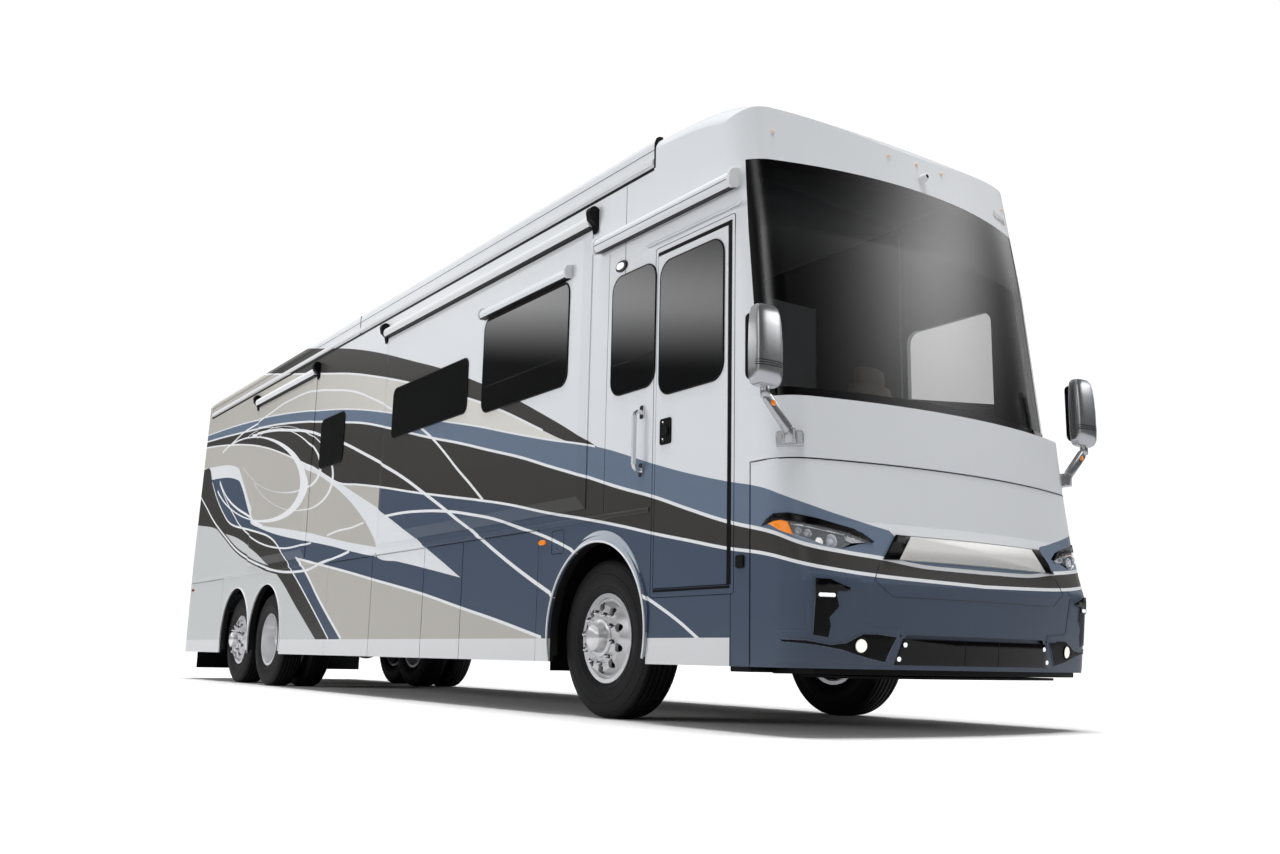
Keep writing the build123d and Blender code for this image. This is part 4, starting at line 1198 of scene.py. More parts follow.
@dataclass
class Wheels(Assembly):
    """Tyres with their tread, wheel nuts, brake drums and hub covers."""

    radius: float = 0.53
    twin_spacing: float = 0.34
    nut_circle: float = 0.168
    axles: dict[str, float] = field(default_factory=lambda: {"front": -4.33, "drive": 2.905, "tag": 4.215})

    def places(self) -> list[WheelPlace]:
        """Lists the wheels.

        Returns:
            The places.
        """
        found = []
        for side in Side:
            for axle in ("front", "tag"):
                label = f"{axle}_{side.label}"
                found.append(WheelPlace(label, side, 1.04, self.axles[axle], 0.3, f"wheel_{label}", f"tyre_{label}",
                                        0.16, 0.092))
            label = f"drive_{side.label}"
            found.append(WheelPlace(label, side, 1.08, self.axles["drive"], 0.28, f"wheels_{label}", f"tyres_{label}",
                                    -0.16, 0.205))
        return found

    def profile(self, width: float) -> list[Point2]:
        """A tyre's section.

        Args:
            width: the tyre's width.

        Returns:
            (distance from its middle, radius) pairs: bead, rings on the wall, shoulder, grooved tread and back.
        """
        half, radius = width / 2, self.radius
        outer = [(0.104, 0.288), (0.112, 0.306), (half - 0.012, 0.33), (half - 0.006, 0.345), (half - 0.009, 0.352),
                 (half - 0.002, 0.375), (half, 0.405), (half - 0.001, 0.43), (half - 0.004, 0.433),
                 (half - 0.004, 0.439), (half - 0.002, 0.442), (half - 0.007, 0.475), (half - 0.014, 0.497),
                 (half - 0.018, 0.499), (half - 0.02, 0.505), (half - 0.026, radius - 0.014),
                 (half - 0.036, radius - 0.005)]
        usable = half - 0.045
        tread = []
        for groove in (0.78, 0.4):
            centre = usable * groove
            tread += [(centre + 0.0075, radius - 0.001), (centre + 0.005, radius - 0.015),
                      (centre - 0.005, radius - 0.015), (centre - 0.0075, radius - 0.001)]
        tread += [(0.0075, radius), (0.005, radius - 0.015)]
        right = outer + [(half - 0.05, radius - 0.002)] + tread
        return right + [(-a, r) for a, r in reversed(right)] + [(0.104, 0.288)]

    def build(self) -> None:
        """Builds every wheel's pieces."""
        for wheel in self.places():
            sign = wheel.side.value
            tyre = Form()
            middles = (wheel.middle,) if wheel.disc > 0 else (wheel.middle, wheel.middle - self.twin_spacing)
            for middle in middles:
                tyre.turn(self.profile(wheel.width), (sign * middle, wheel.axle, self.radius), (sign, 0, 0), 96)
            self.put(f"tyre_{wheel.label}_tread", tyre, "tyre_rubber", body=wheel.body, replaced=(wheel.node,))
            disc = sign * (wheel.middle + wheel.disc)
            nuts = Form()
            for i in range(10):
                angle = 2 * math.pi * i / 10 + 0.15
                centre = (disc, wheel.axle + self.nut_circle * math.cos(angle),
                          self.radius + self.nut_circle * math.sin(angle))
                nuts.turn([(-0.002, 0), (-0.002, 0.024), (0.006, 0.024), (0.008, 0.0195), (0.034, 0.0185),
                           (0.044, 0.013), (0.047, 0)], centre, (sign, 0, 0), 12)
            self.put(f"wheel_nuts_{wheel.label}", nuts, "chrome", 0.7, body=wheel.body, slot="alloy")
            if wheel.disc > 0:
                inner = (sign * (wheel.middle - 0.148), wheel.axle, self.radius)
                drum = Form().turn([(0, 0), (0, 0.245), (0.01, 0.258), (0.05, 0.258), (0.05, 0)], inner, (sign, 0, 0))
                self.put(f"brake_drum_{wheel.label}", drum, "black_steel", 0.5, 0.004, body=wheel.body)
            reach = wheel.cover_reach
            cover = Form().turn([(0, 0), (0, 0.122), (0.005, 0.126), (0.012, 0.122), (0.018, 0.104),
                                 (reach * 0.6, 0.095), (reach * 0.8, 0.086), (reach * 0.93, 0.068), (reach, 0.04),
                                 (reach + 0.002, 0)], (disc, wheel.axle, self.radius), (sign, 0, 0))
            self.put(f"hub_cover_{wheel.label}", cover, "polished_alloy", 0.45, body=wheel.body)


# ------------------ nose
@dataclass(frozen=True)
class NoseShape:
    """The bowed, leaning front of the nose with its rounded corners: (height, foremost y, bow radius) sections."""

    sections: tuple[tuple[float, float, float], ...] = ((0.365, -6.53, 4.58), (0.83, -6.58, 4.58), (1.17, -6.51, 4.3),
                                                        (1.52, -6.475, 4.0))
    corner_radius: float = 0.25

    def depth(self, x: float, z: float) -> float:
        """The y of the front over a place.

        Args:
            x: the place across.
            z: its height.

        Returns:
            The distance along.
        """
        rows = self.sections
        z = min(max(z, rows[0][0]), rows[-1][0])
        low, high = next((a, b) for a, b in zip(rows, rows[1:]) if z <= b[0])
        t = (z - low[0]) / (high[0] - low[0])
        front, radius = low[1] + (high[1] - low[1]) * t, low[2] + (high[2] - low[2]) * t
        small = self.corner_radius
        corner_x = BODY_HALF - small
        centre = front + radius
        corner_y = centre - math.sqrt((radius - small) ** 2 - corner_x ** 2)
        width = abs(x)
        if width <= radius * math.sin(math.atan2(corner_x, centre - corner_y)):
            return centre - math.sqrt(radius ** 2 - width ** 2)
        if width >= BODY_HALF:
            return corner_y
        return corner_y - math.sqrt(max(small ** 2 - (width - corner_x) ** 2, 0.0))

    def front(self, x: float, z: float) -> Place:
        """The place and normal seen from straight ahead.

        Args:
            x: the place across.
            z: its height.

        Returns:
            The place and its outward normal.
        """
        step = 0.002
        slope_x = (self.depth(x + step, z) - self.depth(x - step, z)) / (2 * step)
        slope_z = (self.depth(x, z + step) - self.depth(x, z - step)) / (2 * step)
        return Vector((x, self.depth(x, z), z)), Vector((slope_x, -1.0, slope_z)).normalized()

    def corner(self, side: Side) -> Callable[[float, float], Place]:
        """A projection from diagonally ahead, in which u grows from the side towards the middle.

        Args:
            side: the side.

        Returns:
            The projection.
        """
        def project(u: float, z: float) -> Place:
            """Halves the range of widths until the ray and the front meet.

            Args:
                u: place along the projection's plane.
                z: height.

            Returns:
                The place and its outward normal.
            """
            outer, inner = 2.2, 0.3
            for _ in range(40):
                width = (outer + inner) / 2
                y = -u * math.sqrt(2) - width
                if width > BODY_HALF or y < self.depth(width, z):
                    outer = width
                else:
                    inner = width
            point = Vector((side.value * width, y, z))
            if width > BODY_HALF - 0.002:
                return point, Vector((side.value, 0, 0))
            return point, self.front(side.value * width, z)[1]
        return project


@dataclass
class NoseTrim(Assembly):
    """Headlamps, inlay, side inserts, fog lamps and lower panel of the nose.

    Outlines of the middle are (x, z) seen from ahead; those of the corners are (u, z) seen diagonally.
    """

    home: str = "nose_body"
    shape: NoseShape = NoseShape()
    lamp: Outline = (
        (3.439, 1.15), (3.474, 1.164), (3.515, 1.168), (3.641, 1.146), (3.769, 1.124), (3.871, 1.104), (3.936, 1.082),
        (4.003, 1.055), (3.89, 1.042), (3.845, 1.012), (3.804, 0.999), (3.737, 1.012), (3.602, 1.064), (3.495, 1.109),
    )
    brow: Outline = (
        (3.403, 1.14), (3.432, 1.175), (3.474, 1.203), (3.555, 1.204), (3.73, 1.168), (3.91, 1.124), (3.962, 1.092),
        (4.01, 1.053), (3.936, 1.08), (3.871, 1.102), (3.769, 1.122), (3.641, 1.144), (3.515, 1.166), (3.474, 1.162),
        (3.439, 1.148),
    )
    amber: Outline = (
        (3.444, 1.149), (3.474, 1.16), (3.515, 1.164), (3.552, 1.153), (3.582, 1.079), (3.545, 1.092), (3.509, 1.108),
    )
    fin: Outline = ((3.88, 1.092), (3.936, 1.074), (3.985, 1.056), (3.905, 1.05), (3.868, 1.062), (3.862, 1.08))
    blade: Outline = (
        (3.56, 1.15), (3.641, 1.137), (3.769, 1.115), (3.866, 1.097), (3.86, 1.09), (3.765, 1.106), (3.64, 1.128),
        (3.562, 1.14),
    )
    bulbs: tuple[Point3, ...] = ((3.794, 1.052, 0.036), (3.727, 1.044, 0.024), (3.664, 1.09, 0.022),
                                 (3.612, 1.102, 0.018))
    pocket: Outline = (
        (3.501, 0.518), (3.651, 0.514), (3.776, 0.493), (3.857, 0.504), (3.947, 0.555), (4.03, 0.556), (4.13, 0.543),
        (4.062, 0.404), (3.977, 0.421), (3.826, 0.467), (3.701, 0.488), (3.521, 0.502),
    )
    insert: Outline = (
        (3.702, 0.842), (3.78, 0.839), (3.881, 0.8), (3.881, 0.783), (3.812, 0.777), (3.824, 0.695), (3.773, 0.636),
        (3.78, 0.592), (3.764, 0.529), (3.684, 0.541), (3.7, 0.735),
    )
    insert_head: Outline = (
        (3.702, 0.842), (3.78, 0.839), (3.881, 0.8), (3.881, 0.783), (3.812, 0.777), (3.81, 0.742), (3.702, 0.738),
    )
    side_panel: Outline = (
        (3.655, 0.885), (3.94, 0.872), (3.962, 0.606), (4.15, 0.59), (4.15, 0.385), (3.48, 0.385), (3.48, 0.562),
        (3.65, 0.566),
    )
    inlay: Outline = ((-0.638, 0.966), (-0.528, 1.103), (0.528, 1.103), (0.638, 0.966))
    inlay_end: Outline = ((0.642, 0.964), (0.531, 1.104), (0.632, 1.108), (0.744, 0.962))
    lower_panel: Outline = ((-0.668, 0.392), (-0.612, 0.534), (0.612, 0.534), (0.668, 0.392))
    crease: Outline = ((-0.77, 0.935), (-0.822, 0.846), (-0.7, 0.76), (0.7, 0.76), (0.822, 0.846), (0.77, 0.935))

    def build(self) -> None:
        """Builds the nose's pieces."""
        front = self.shape.front
        crease = Form().tube([front(x, z)[0] for x, z in self.subdivided(self.crease)], 0.0026, 6)
        self.put("nose_crease_line", crease, "crease_shade", 0.9)
        self.lay("nose_inlay", self.inlay, front, "inlay_satin", 0.07, 0.004, 0.013, 0.003)
        self.lay("nose_lower_panel", self.lower_panel, front, "gloss_black", 0.07, 0.001, 0.006, 0.003)
        for index, x in enumerate((-0.15, 0.138)):
            seam = [(x - 0.0018, 0.396), (x + 0.0018, 0.396), (x + 0.0018, 0.53), (x - 0.0018, 0.53)]
            self.lay(f"lower_panel_seam_{index}", seam, front, "black_plastic", 0.06, 0.006, 0.002)
        for side in Side:
            self.panels(side)
            self.headlamp(side)
            self.fog_lamp(side)
        self.underside()
        self.seams()

    def seams(self) -> None:
        """The dark gap line round the nose, and the dark pieces of the corner posts behind it."""
        top = [self.shape.front(x / 40 * (BODY_HALF - 0.0015), 1.5145)[0] for x in range(-40, 41)]
        ends = [[Vector((sign * (BODY_HALF - 0.0015), -5.984, z)) for z in (0.38, 1.512)] for sign in (-1, 1)]
        self.put("nose_gap_line", Form().tube([*ends[0], *top, *reversed(ends[1])], 0.0032, 6), "satin_black", 0.9)
        for side in Side:
            x = side.value * BODY_HALF
            step = Form().box((x - side.value * 0.18, -5.978, 0.336), (x - side.value * 0.006, -5.802, 0.374))
            self.put(f"corner_step_{side.label}", step, "satin_black", 0.5, 0.004, body="coach")
        knob = Form().plate(rounded(-5.935, -5.865, 0.915, 0.99, 0.014), -BODY_HALF + 0.001, -BODY_HALF - 0.016)
        self.put("corner_post_socket", knob, "black_plastic", 0.5, 0.006, body="coach")

    def panels(self, side: Side) -> None:
        """The flat pieces of one side.

        Args:
            side: the side.
        """
        corner, label = self.shape.corner(side), side.label
        end = across(self.inlay_end, side)
        self.lay(f"inlay_end_{label}", end, self.shape.front, "gloss_black", 0.05, 0.002, 0.014, 0.003)
        self.lay(f"lamp_surround_{label}", self.brow, corner, "gloss_black", 0.025, -0.001, 0.009)
        self.lay(f"nose_side_panel_{label}", self.side_panel, corner, "body_paint", 0.04, -0.002, 0.0042, 0.0015)
        self.lay(f"fog_pocket_{label}", self.pocket, corner, "satin_black", 0.04, 0.0022, 0.0035, 0.002)
        self.lay(f"side_insert_{label}", self.insert, corner, "satin_black", 0.04, 0.0022, 0.004, 0.002)
        self.lay(f"insert_head_{label}", self.insert_head, corner, "gloss_black", 0.04, 0.0045, 0.009, 0.003)
        lit = rounded(3.716, 3.8, 0.746, 0.766, 0.009, 4)
        self.lay(f"light_bar_{label}", lit, corner, "lamp_white", 0.03, 0.0125, 0.005)
        for name, outline, gauge in (("insert_edge", self.insert, 0.0028), ("pocket_edge", self.pocket, 0.0032)):
            places = (corner(u, v) for u, v in self.subdivided((*outline, outline[0])))
            rim = Form().tube([at + normal * 0.0045 for at, normal in places], gauge, 6)
            self.put(f"{name}_{label}", rim, "deep_paint", 0.9)

    def subdivided(self, outline: Outline) -> list[Point2]:
        """Divides the longer stretches of a line.

        Args:
            outline: the line's points.

        Returns:
            The points with the new ones.
        """
        points = []
        for (u0, v0), (u1, v1) in zip(outline, outline[1:]):
            count = max(1, int(math.hypot(u1 - u0, v1 - v0) / 0.03))
            points += [(u0 + (u1 - u0) * i / count, v0 + (v1 - v0) * i / count) for i in range(count)]
        return points + [outline[-1]]

    def headlamp(self, side: Side) -> None:
        """The bowl, lamps, trim and clear cover of one headlamp.

        Args:
            side: its side.
        """
        label, corner = side.label, self.shape.corner(side)

        def sunk(u: float, z: float) -> Place:
            """The bowl's bottom under the cover."""
            at, normal = corner(u, z)
            return at - normal * 0.045, normal

        bowl = [(3.76 + (u - 3.76) * 0.97, 1.09 + (v - 1.09) * 0.94) for u, v in self.lamp]
        self.lay(f"headlamp_bowl_{label}", bowl, sunk, "lamp_black", 0.03, 0.0, 0.004)
        self.lay(f"headlamp_amber_{label}", self.amber, corner, "lamp_amber", 0.02, -0.001, 0.008)
        self.lay(f"headlamp_fin_{label}", self.fin, corner, "chrome", 0.02, -0.016, 0.006)
        self.lay(f"headlamp_trim_{label}", self.blade, corner, "chrome", 0.02, -0.012, 0.006)
        for index, (u, z, radius) in enumerate(self.bulbs):
            at, normal = corner(u, z)
            facing = (normal + Vector((0, -1.0, 0))).normalized()
            shell = Form().turn([(0, 0), (0.001, radius * 0.55), (0.012, radius * 0.82), (0.026, radius),
                                 (0.027, radius * 1.08), (-0.004, radius * 1.08), (-0.004, 0)], at - facing * 0.036,
                                facing, 28)
            self.put(f"headlamp_reflector_{label}_{index}", shell, "chrome", 0.6)
            bulb = Form().turn([(0, 0), (0.0, radius * 0.62), (0.008, radius * 0.6), (0.016, radius * 0.45),
                                (0.021, radius * 0.22), (0.0225, 0)], at - facing * 0.032, facing, 24)
            self.put(f"headlamp_lens_{label}_{index}", bulb, "lamp_lit" if index == 1 else "clear_rod", 0.6)
        replaced = ("headlamps",) if side is Side.RIGHT else ()
        self.lay(f"headlamp_cover_{label}", self.lamp, corner, "lamp_cover", 0.025, 0.003, 0.003, replaced=replaced)

    def fog_lamp(self, side: Side) -> None:
        """The fog lamp and the small sensors of one side, which glow as painted highlights.

        Args:
            side: the side.
        """
        label = side.label
        at, normal = self.shape.front(side.value * 0.889, 0.49)
        ring = Form().turn([(0, 0), (0, 0.047), (0.009, 0.047), (0.012, 0.043), (0.009, 0.04), (0.004, 0.038),
                            (0.004, 0)], at, normal, 36)
        self.put(f"fog_ring_{label}", ring, "satin_black", 0.6, slot="mirror_chrome")
        glass = Form().turn([(0.004, 0), (0.004, 0.037), (0.009, 0.035), (0.014, 0.024), (0.016, 0)], at, normal,
                            30)
        self.put(f"fog_lens_{label}", glass, "lamp_lit", 0.6)
        # The sensors take the glowing lamp finish: painted highlights.
        for index, (x, z) in enumerate(((0.602, 0.502), (0.64, 0.424))):
            at, normal = self.shape.front(side.value * x, z)
            dot = Form().turn([(0.004, 0), (0.004, 0.014), (0.01, 0.013), (0.014, 0.008), (0.015, 0)], at, normal,
                              18)
            self.put(f"corner_sensor_{label}_{index}", dot, "lamp_white", 0.6)

    def underside(self) -> None:
        """The dark valance, which is partly painted shadow under the bumper, the skid bar on its hangers, and the
        baffles between the front wheel wells.
        """
        # The valance's black band under the bumper is partly painted shadow.
        for name, inset, low, high, half in (("nose_valance", 0.05, 0.334, 0.366, 1.12),
                                             ("skid_bar", 0.09, 0.314, 0.33, 0.9)):
            bow = [-half + 2 * half * i / 24 for i in range(25)]
            outline = [(x, self.shape.depth(x, 0.37) + inset, low) for x in bow]
            outline += [(half, -5.99, low), (-half, -5.99, low)]
            self.put(name, Form().prism(outline, (0, 0, high - low)), "satin_black", 0.5, 0.004)
        baffle = Form()
        for x in (-0.3, 0.292):
            baffle.plate(rounded(-5.06, -4.79, 0.44, 1.2, 0.05), x, x + 0.008)
        self.put("wheel_well_baffles", baffle, "black_plastic", body="coach")
        hangers = Form()
        for x in (-0.62, 0.62):
            hangers.box((x - 0.02, -6.34, 0.322), (x + 0.02, -6.26, 0.35))
        self.put("skid_bar_hangers", hangers, "satin_black", 0.5, 0.004)


# ------------------ mirrors
@dataclass
class Mirrors(Assembly):
    """Chrome mirror heads on diagonal arms, with glass, rims, markers and corner brackets."""

    head: Point3 = (1.423, -6.29, 1.885)
    bracket_height: float = 1.628

    def build(self) -> None:
        """Builds both mirrors."""
        self.skin = Skin(self.nodes["front_cap"])
        for side in Side:
            self.shell(side)
            self.arm(side)

    def shell(self, side: Side) -> None:
        """The head, its glass and the glass's rim.

        Args:
            side: the side.
        """
        label = side.label
        x, y, z = side.value * self.head[0], self.head[1], self.head[2]
        rows = ((0, 0.07, 0.03, 0.006), (0.012, 0.088, 0.044, 0.004), (0.04, 0.098, 0.056, 0.0),
                (0.09, 0.1, 0.062, 0.0), (0.23, 0.1, 0.063, 0.0), (0.34, 0.097, 0.059, 0.002),
                (0.41, 0.091, 0.053, 0.004), (0.448, 0.08, 0.045, 0.006), (0.464, 0.062, 0.034, 0.008),
                (0.469, 0.036, 0.018, 0.01))
        head = Form().stack([((x, y + shift, z + dz), superellipse(hx, hy, 3.4, 40)) for dz, hx, hy, shift in rows])
        self.put(f"mirror_head_{label}", head, "satin_chrome", 0.9,
                 replaced=(("mirrors",) if side is Side.RIGHT else ()))
        pane = rounded(x - 0.084, x + 0.084, z + 0.045, z + 0.42, 0.035)
        edge = rounded(x - 0.09, x + 0.09, z + 0.039, z + 0.426, 0.04)
        self.put(f"mirror_glass_{label}", Form().beam(pane, y + 0.058, 0.008), "mirror_silver")
        rim = Form().ring([(u, y + 0.05, v) for u, v in edge], [(u, y + 0.05, v) for u, v in pane], (0, 0.019, 0))
        self.put(f"mirror_rim_{label}", rim, "satin_black", 0.5, 0.003)
        slot = Form()
        for dz in (0.105, 0.118, 0.131):
            slot.stack([((x, y, z + dz), superellipse(0.0998, 0.0642, 3.4, 40)),
                        ((x, y, z + dz + 0.004), superellipse(0.0998, 0.0642, 3.4, 40))])
        self.put(f"mirror_grooves_{label}", slot, "satin_black", 0.9)

    def arm(self, side: Side) -> None:
        """The stub under the head, the flat arm, its marker lamp and the bracket on the cap.

        Args:
            side: the side.
        """
        label, sign = side.label, side.value
        x, y, z = sign * self.head[0], self.head[1], self.head[2]
        at, normal = self.skin.cast((sign * 2.0, -7.1, self.bracket_height), (-sign * 0.8, 0.86, 0.0))
        foot = at + normal * 0.05
        top = Vector((x - sign * 0.01, y + 0.004, z - 0.05))
        stub = Form().turn([(0, 0), (0, 0.022), (0.006, 0.026), (0.05, 0.026), (0.064, 0.022), (0.064, 0)],
                           (x, y, z - 0.06), (0, 0, 1), 24)
        self.put(f"mirror_stub_{label}", stub, "satin_chrome", 0.6)
        way = foot + Vector((0, 0, 0.03)) - top
        wide = way.cross(Vector((0, -1, 0))).normalized()
        thick = way.cross(wide).normalized()
        section = superellipse(0.034, 0.017, 3.2, 24)
        stations = ((0, 0.82), (0.06, 1.0), (0.5, 1.0), (0.94, 1.0), (1.0, 0.82))
        arm = Form().rows([[top + way * t + wide * a * s + thick * b * s for a, b in section] for t, s in stations])
        self.put(f"mirror_arm_{label}", arm, "satin_chrome", 0.7)
        marker = Form().turn([(0, 0), (0, 0.017), (0.006, 0.016), (0.01, 0.009), (0.011, 0)],
                             top + way * 0.22 + Vector((0, -0.016, 0)), (0, -1, 0.1), 20)
        self.put(f"mirror_marker_{label}", marker, "lamp_amber", 0.6)
        tangent = Vector((-normal.y, normal.x, 0)).normalized()
        block = Form()
        for half, low, high, out in ((0.078, -0.048, 0.04, 0.02), (0.04, -0.04, 0.046, 0.06)):
            outline = ((-half, low), (half, low), (half, high - 0.012), (half - 0.012, high), (-half + 0.012, high),
                       (-half, high - 0.012))
            block.prism([at - normal * 0.012 + tangent * a + Vector((0, 0, b)) for a, b in outline],
                        normal * (out + 0.012))
        self.put(f"mirror_bracket_{label}", block, "satin_chrome", 0.4, 0.005)
        post = Form().turn([(-0.04, 0), (-0.04, 0.022), (-0.034, 0.026), (0.04, 0.026), (0.046, 0.02), (0.046, 0)],
                           foot, (0, 0, 1), 24)
        self.put(f"mirror_post_{label}", post, "satin_chrome", 0.6)


# ------------------ windows and door
@dataclass(frozen=True)
class Window:
    """A side window: its body, side, extent along and up, corner radius, and the skin it is in."""

    label: str
    body: str
    side: Side
    y0: float
    y1: float
    z0: float
    z1: float
    radius: float
    skin: float = BODY_HALF
    vent: bool = False


@dataclass
class SideWindows(Assembly):
    """Black frames, seals and vent rails of the side windows."""

    lap: float = 0.025
    width: float = 0.009
    windows: tuple[Window, ...] = (
        Window("slide_main", "slide_right_front_body", Side.RIGHT, -3.913, -2.59, 2.36, 3.115, 0.08, SLIDE_FACE, True),
        Window("slide_small", "slide_right_front_body", Side.RIGHT, -2.265, -0.71, 2.42, 2.86, 0.05, SLIDE_FACE),
        Window("wall_rear", "coach", Side.RIGHT, 0.69, 1.36, 2.375, 2.88, 0.06),
        Window("cab_side", "coach", Side.RIGHT, -4.99, -4.51, 2.17, 2.975, 0.09, BODY_HALF, True),
        Window("driver", "coach", Side.LEFT, -5.7, -4.88, 2.05, 2.96, 0.09, BODY_HALF, True),
        Window("left_main", "slide_left_body", Side.LEFT, -3.5, -1.9, 2.3, 3.115, 0.08, SLIDE_FACE, True),
        Window("left_small", "slide_left_body", Side.LEFT, -0.9, 0.7, 2.42, 2.86, 0.05, SLIDE_FACE),
        Window("left_rear", "coach", Side.LEFT, 2.5, 3.7, 2.42, 2.96, 0.06, BODY_HALF, True),
        Window("door", "entry_door_body", Side.RIGHT, -5.712, -5.085, 2.08, 2.94, 0.09),
    )

    def build(self) -> None:
        """Builds every window's pieces."""
        for w in self.windows:
            sign = w.side.value
            outer, inner = (rounded(w.y0 - lap, w.y1 + lap, w.z0 - lap, w.z1 + lap, w.radius + lap, 8)
                            for lap in (self.lap, self.lap - self.width))
            frame = Form().frame(outer, inner, sign * (w.skin - 0.0005), sign * (w.skin + 0.0095))
            self.put(f"window_frame_{w.label}", frame, "satin_black", 0.5, 0.002, body=w.body)
            if w.vent:
                z = w.z0 + 0.2
                rail = Form().box((sign * (w.skin + 0.004), w.y0 - 0.01, z - 0.007),
                                  (sign * (w.skin + 0.0092), w.y1 + 0.01, z + 0.007))
                self.put(f"window_rail_{w.label}", rail, "gloss_black", 0.5, 0.002, 1, body=w.body)


@dataclass
class EntryDoor(Assembly):
    """Gasket, frame mouldings, latch, grab handle and porch light round the entry door."""

    front: float = -5.808
    rear: float = -5.025
    low: float = 0.825
    high: float = 3.043
    latch: Point2 = (-5.145, 1.82)
    grab: float = -4.88
    porch: Point2 = (-4.59, 3.068)

    def build(self) -> None:
        """Builds the door's pieces."""
        self.mouldings()
        self.lock()
        self.grab_handle()
        self.porch_light()

    def mouldings(self) -> None:
        """The gasket in the gap, the seams round it and the drip rail over it."""
        x = -BODY_HALF
        gasket = Form().box((x - 0.0035, self.front + 0.0005, 0.828), (x + 0.022, -5.7765, 3.04))
        gasket.box((x - 0.0005, -5.7765, 3.0185), (x + 0.022, -5.034, 3.04))
        gasket.box((x - 0.0012, -5.8, 0.806), (x + 0.01, -5.03, 0.822))
        self.put("door_gasket", gasket, "satin_black")
        frame = Form().frame(rounded(self.front - 0.03, self.rear + 0.026, self.low - 0.055, self.high + 0.034, 0.02),
                             rounded(self.front - 0.026, self.rear + 0.022, self.low - 0.051, self.high + 0.03, 0.017),
                             x - 0.0009, x + 0.002)
        frame.box((x - 0.0009, self.front - 0.002, 0.372), (x + 0.002, self.front + 0.002, self.low - 0.054))
        self.put("door_frame_seams", frame, "satin_black")
        rail = Form().beam([(x + 0.001, 3.118), (x - 0.022, 3.104), (x - 0.024, 3.112), (x + 0.001, 3.136)], -5.9, 1.0)
        self.put("door_drip_rail", rail, "body_paint")

    def lock(self) -> None:
        """The latch plate, its paddle and the lock."""
        x, (y, z) = -BODY_HALF, self.latch
        plate = Form().plate(rounded(y - 0.06, y + 0.06, z - 0.085, z + 0.085, 0.018), x + 0.001, x - 0.009)
        self.put("door_latch_plate", plate, "satin_black", 0.5, 0.003, body="entry_door_body")
        paddle = Form().plate(rounded(y - 0.04, y + 0.016, z - 0.026, z + 0.026, 0.012), x - 0.009, x - 0.019)
        self.put("door_latch_paddle", paddle, "black_plastic", 0.5, 0.005, body="entry_door_body")
        lock = Form()
        for rise in (-0.055, 0.055):
            at = (x - 0.009, y + 0.02, z + rise)
            lock.turn([(0, 0), (0, 0.011), (0.004, 0.01), (0.005, 0)], at, (-1, 0, 0), 20)
        self.put("door_lock", lock, "chrome", body="entry_door_body")

    def grab_handle(self) -> None:
        """The long handle behind the door, with its chrome ends."""
        x, y = -BODY_HALF, self.grab
        ends = Form()
        for z, turn in ((1.6, 1), (1.985, -1)):
            ends.plate(rounded(y - 0.022, y + 0.022, z - 0.045, z + 0.045, 0.014), x + 0.001, x - 0.011)
            ends.tube([(x - 0.006, y, z), (x - 0.045, y, z), (x - 0.062, y, z + turn * 0.014),
                       (x - 0.066, y, z + turn * 0.038)], 0.015, 16)
        self.put("grab_handle_ends", ends, "chrome", 0.7)
        bar = Form().tube([(x - 0.066, y, 1.63), (x - 0.066, y, 1.955)], 0.0165, 20)
        self.put("grab_handle_bar", bar, "clear_rod", 0.7, slot="white_plastic")

    def porch_light(self) -> None:
        """The oval light ahead of the front slide."""
        x, (y, z) = -BODY_HALF, self.porch
        oval = superellipse(0.068, 0.04, 2.2, 36)
        rim = Form().plate([(y + a, z + b) for a, b in oval], x + 0.001, x - 0.013)
        self.put("porch_light_rim", rim, "gloss_black", 0.5, 0.004)
        lens = Form().plate([(y + a * 0.66, z + b * 0.6) for a, b in oval], x - 0.012, x - 0.022)
        self.put("porch_light_lens", lens, "lamp_white", 0.5, 0.006)


# ------------------ awnings
@dataclass(frozen=True)
class SlideRoom:
    """A slide room's side and its ends along the coach."""

    label: str
    side: Side
    front: float
    rear: float


